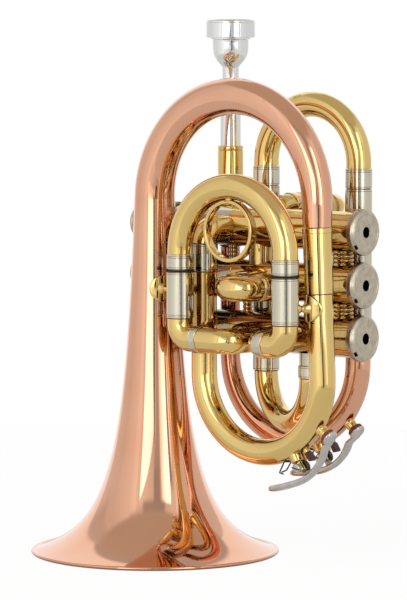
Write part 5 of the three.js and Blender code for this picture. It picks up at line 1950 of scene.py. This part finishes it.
class Tent(Enum):
    """The light tent's parts, in the order in which they are painted over its white back."""

    WALLS = Panel(-139, 142, -95, 95, 0.75, 0.72, soft_side=3)
    DARKER_LEFT_WALL = Panel(-139, -112, 20, 95, 0.62, 0.63, soft_side=14, soft_end=14)
    OUTER_LEFT_GLOW = Panel(-94, -60, -95, 52, 0.77, 0.92, soft_side=5, soft_end=8)
    INNER_LEFT_GLOW = Panel(-60, -44, -95, 46, 0.94, 1.08, soft_side=3, soft_end=9)
    LEFT_BOX_FRAME = Panel(-44, -36.5, -95, 44, 1.0, 0.84, soft_end=8)
    RIGHT_WALL_NEAR_BOX = Panel(48.5, 70, -95, 52, 0.8, 0.76)
    RIGHT_GLOW = Panel(49, 72, 26, 48, 1.04, 0.86, soft_end=16)
    LEFT_BOX_SPILL = Panel(-36.5, 0, -5, 43, 1.0, 0.72, soft_end=9)
    LEFT_BOX = Panel(-35, 11.8, -5, 39, 2.65, 1.75, right_flare=-1.25, soft_side=3)
    RIGHT_BOX_NEAR = Panel(13, 26, -6, 41, 0.75, 2.3, left_flare=-0.12)
    RIGHT_BOX = Panel(26, 38, -6, 41.5, 2.3, 2.8, soft_side=1)
    RIGHT_BOX_HOOD = Panel(24, 48.5, 41.5, 50, 0.75, 0.85, soft_side=5)
    RIGHT_FRAME = Panel(38, 44, -6, 30, 0.38, 0.38, soft_side=1.0, soft_end=12)
    RIGHT_FRAME_TOP = Panel(38, 48.5, 30, 50, 0.88, 0.82, soft_side=2, soft_end=12)
    RIGHT_SPILL = Panel(44, 47, -6, 18, 1.8, 1.4, soft_side=1.5, soft_end=12)
    MIDDLE_GAP = Panel(-0.5, 13, -95, 44, 0.56, 0.5, soft_side=3)
    UPPER_GAP = Panel(-2, 13, 20, 95, 0.4, 0.43, soft_side=6, soft_end=12)
    HIGH_GAP = Panel(-28, 24, 40, 95, 0.46, 0.42, soft_side=9, soft_end=7)
    BRIGHT_EDGE = Panel(-0.4, 3.2, -3, 14, 0.85, 0.8, soft_side=1.5, soft_end=6)
    LEFT_FOOT = Panel(-36, 12, -20, -6.5, 0.95, 0.5, soft_side=4, soft_end=3)
    RIGHT_FOOT = Panel(12, 40, -20, -6.5, 0.48, 0.8, soft_side=4, soft_end=3)
    LEFT_LOW_EDGE = Panel(-42, 12, -8, -3.2, 1.3, 0.8, soft_side=3, soft_end=1.5)
    RIGHT_LOW_EDGE = Panel(14, 46, -8, -3.2, 0.42, 1.5, soft_side=2, soft_end=1.5)
    BLACK_SLIT = Panel(-7.2, 0.1, -4, 15, 0.02, 0.02, left_flare=-0.4, right_flare=-0.05, soft_side=0.8,
                       soft_end=2)
    LOW_BLACK_SLIT = Panel(2.5, 9.5, -12, -3.2, 0.02, 0.02, soft_side=0.8, soft_end=1)
    LOW_GREY_EDGE = Panel(9.5, 19, -12, -3.2, 0.36, 0.5, soft_side=1, soft_end=1)
    BACK_RIGHT_TOP = Panel(112, 200, 39, 95, 0.5, 0.5, soft_side=16)
    BACK_LEFT_TOP = Panel(-200, -139, 47, 95, 0.54, 0.54)
    CEILING = Panel(-200, 200, 50, 120, 0.54, 0.54, soft_end=8)


@dataclass
class Studio(Section):
    """The camera, the white floor, the light tent that the metal mirrors and one soft lamp."""

    azimuth: float = 39.923
    elevation: float = 4.62
    lens: float = 206.26
    sensor: float = 36.0
    near_clip: float = 0.05
    far_clip: float = 50.0
    distance: float = 1700.89
    target: tuple[float, float, float] = (18.475, 15.46, 125.69)
    back_level: float = 1.05
    warm_colour: tuple[float, float, float, float] = (1.0, 0.93, 0.83, 1)
    warm_from: float = 52.0
    warm_soft: float = 12.0
    floor_radius: float = 0.55
    floor_drop: float = 0.3
    floor_colour: str = "F6F6F6"
    floor_share: float = 0.94
    floor_mirror_share: float = 0.55
    floor_mirror_level: float = 0.5
    lamp_turn: float = 38.0
    lamp_level_share: float = 0.75
    lamp_rise: float = 0.66
    lamp_distance: float = 1.6
    lamp_size: float = 1.2
    lamp_power: float = 9.0

    def view_back(self) -> Vector:
        """Gives the direction from the trumpet to the camera."""
        a, e = math.radians(self.azimuth), math.radians(self.elevation)
        return Vector((math.sin(a) * math.cos(e), -math.cos(a) * math.cos(e), math.sin(e)))

    def aim(
        self, name: str, data: bpy.types.ID, away: Vector, distance: float
    ) -> bpy.types.Object:
        """Places a camera or a lamp so that it looks at the target.

        Args:
            name: The object's name.
            data: The camera or the lamp.
            away: The direction from the target to it.
            distance: How far away it stands, in metres.

        Returns:
            The object.
        """
        thing = bpy.data.objects.new(name, data)
        bpy.context.scene.collection.objects.link(thing)
        thing.location = Vector(self.target) * MM + self.bench.shift + away * distance
        thing.rotation_euler = away.to_track_quat("Z", "Y").to_euler()
        return thing

    def camera(self) -> None:
        """Places the camera where the photograph was taken from."""
        data = bpy.data.cameras.new("camera")
        data.sensor_fit = "AUTO"
        data.sensor_width = self.sensor
        data.lens = self.lens
        data.clip_start = self.near_clip
        data.clip_end = self.far_clip
        bpy.context.scene.camera = self.aim("camera", data, self.view_back(), self.distance * MM)

    @staticmethod
    def edge(tree: Tree, value: Socket, at: float, soft: float, is_rising: bool) -> Socket:
        """Makes a soft step from 0 to 1, or from 1 to 0, where a value passes a limit.

        Args:
            tree: The world's nodes.
            value: The value.
            at: The limit.
            soft: How wide the step is.
            is_rising: Whether it rises to 1.

        Returns:
            The step.
        """
        ends = (0.0, 1.0) if is_rising else (1.0, 0.0)
        return mapped(tree, value, (at - soft / 2, at + soft / 2), ends, interpolation_type="SMOOTHSTEP")

    def painted(
        self, tree: Tree, around: Socket, over: Socket, level: Socket | float, panel: Panel
    ) -> Socket:
        """Paints one panel over the tent.

        Args:
            tree: The world's nodes.
            around: The azimuth in degrees.
            over: The elevation in degrees.
            level: The brightness so far.
            panel: What is painted.

        Returns:
            The new brightness.
        """
        left = maths(tree, "MULTIPLY_ADD", over, panel.left_flare, around)
        right = maths(tree, "MULTIPLY_ADD", over, -panel.right_flare, around)
        share = self.edge(tree, left, panel.left, panel.soft_side, True)
        for value, at, soft, is_rising in (
            (right, panel.right, panel.soft_side, False),
            (over, panel.low, panel.soft_end, True),
            (over, panel.high, panel.soft_end, False),
        ):
            share = maths(tree, "MULTIPLY", share, self.edge(tree, value, at, soft, is_rising))
        across = mapped(tree, around, (panel.left, panel.right), (panel.left_level, panel.right_level))
        return mixed(tree, share, level, across, "FLOAT")

    def world(self) -> None:
        """Lights the scene by a tent: two soft boxes beside the camera, grey walls, white behind."""
        world = bpy.data.worlds.new("light_tent")
        bpy.context.scene.world = world
        tree = emptied(world)
        path = add_node(tree, "LightPath")
        spot = add_node(tree, "TexCoord").outputs["Generated"]
        faced = add_node(
            tree, "VectorRotate", {"Vector": spot, "Axis": Z_AXIS, "Angle": -math.radians(self.azimuth)},
            rotation_type="AXIS_ANGLE",
        )
        parts = add_node(tree, "SeparateXYZ", {"Vector": faced.outputs["Vector"]})
        nearer = maths(tree, "MULTIPLY", parts.outputs["Y"], -1.0)
        around = maths(tree, "DEGREES", maths(tree, "ARCTAN2", parts.outputs["X"], nearer))
        over = maths(tree, "DEGREES", maths(tree, "ARCSINE", parts.outputs["Z"]))
        level: Socket | float = self.back_level
        for part in Tent:
            level = self.painted(tree, around, over, level, part.value)
        is_high = self.edge(tree, over, self.warm_from, self.warm_soft, True)
        colour = mixed(tree, is_high, WHITE, self.warm_colour)
        tent = add_node(tree, "Background", {"Color": colour, "Strength": level})
        seen = add_node(tree, "Background", {"Color": WHITE, "Strength": 1.0})
        is_seen = path.outputs["Is Camera Ray"]
        mix = add_node(tree, "MixShader", {"Fac": is_seen, 1: tent.outputs[0], 2: seen.outputs[0]})
        add_node(tree, "OutputWorld", {"Surface": mix.outputs["Shader"]})

    def floor_material(self) -> bpy.types.Material:
        """Makes the floor's white, which glows for the camera and in mirrors and keeps a soft shadow.

        Returns:
            The material.
        """
        material = bpy.data.materials.new("white_floor")
        tree = emptied(material)
        path = add_node(tree, "LightPath")
        camera_ray = path.outputs["Is Camera Ray"]
        mirrored = maths(tree, "MAXIMUM", path.outputs["Is Glossy Ray"], path.outputs["Is Transmission Ray"])
        mirrored = maths(tree, "MULTIPLY", mirrored, self.floor_mirror_share)
        share = maths(tree, "MAXIMUM", maths(tree, "MULTIPLY", camera_ray, self.floor_share), mirrored)
        paint = add_node(tree, "BsdfDiffuse", {"Color": linear(self.floor_colour)})
        level = mapped(tree, camera_ray, (0.0, 1.0), (self.floor_mirror_level, 1.0))
        glow = add_node(tree, "Emission", {"Color": WHITE, "Strength": level})
        mix = add_node(tree, "MixShader", {"Fac": share, 1: paint.outputs[0], 2: glow.outputs[0]})
        add_node(tree, "OutputMaterial", {"Surface": mix.outputs["Shader"]})
        return material

    def floor(self) -> None:
        """Lays a round white floor that keeps a soft shadow."""
        shape = bmesh.new()
        bmesh.ops.create_circle(shape, cap_ends=True, radius=self.floor_radius, segments=96)
        moved(shape, z=-self.floor_drop * MM)
        mesh = bpy.data.meshes.new("studio_floor")
        shape.to_mesh(mesh)
        shape.free()
        mesh.materials.append(self.floor_material())
        floor = bpy.data.objects.new("studio_floor", mesh)
        bpy.context.scene.collection.objects.link(floor)

    def lamp(self) -> None:
        """Hangs one big soft lamp over the camera's left shoulder."""
        data = bpy.data.lights.new("soft_lamp", "AREA")
        data.shape = "SQUARE"
        data.size = self.lamp_size
        data.energy = self.lamp_power
        a = math.radians(self.azimuth - self.lamp_turn)
        level = Vector((math.sin(a), -math.cos(a), 0)) * self.lamp_level_share
        away = (level + Z_AXIS * self.lamp_rise).normalized()
        lamp = self.aim("soft_lamp", data, away, self.lamp_distance)
        lamp.visible_glossy = False

    def build(self) -> None:
        """Builds the studio."""
        bpy.context.scene.view_settings.view_transform = "Standard"
        self.camera()
        self.world()
        self.floor()
        self.lamp()


def main() -> None:
    """Builds the studio and every section in order, and notes the sizes."""
    logging.basicConfig(level=logging.INFO, format="%(name)s %(message)s")
    bench = Bench()
    Studio(bench).build()
    bell, branch, valves = BellSection(bench), Branch(bench), ValveBlock(bench)
    third, lead = ThirdSlide(bench), LeadSide(bench)
    bell.build()
    branch.build(valves)
    valves.build()
    third.build(valves)
    ShortSlides(bench).build(valves)
    lead.build(valves)
    Braces(bench).build(bell, branch, valves, third)
    WaterKeys(bench).build(branch, lead)
    LOG.info("%d pieces", bench.count)


if __name__ == "__main__":
    main()
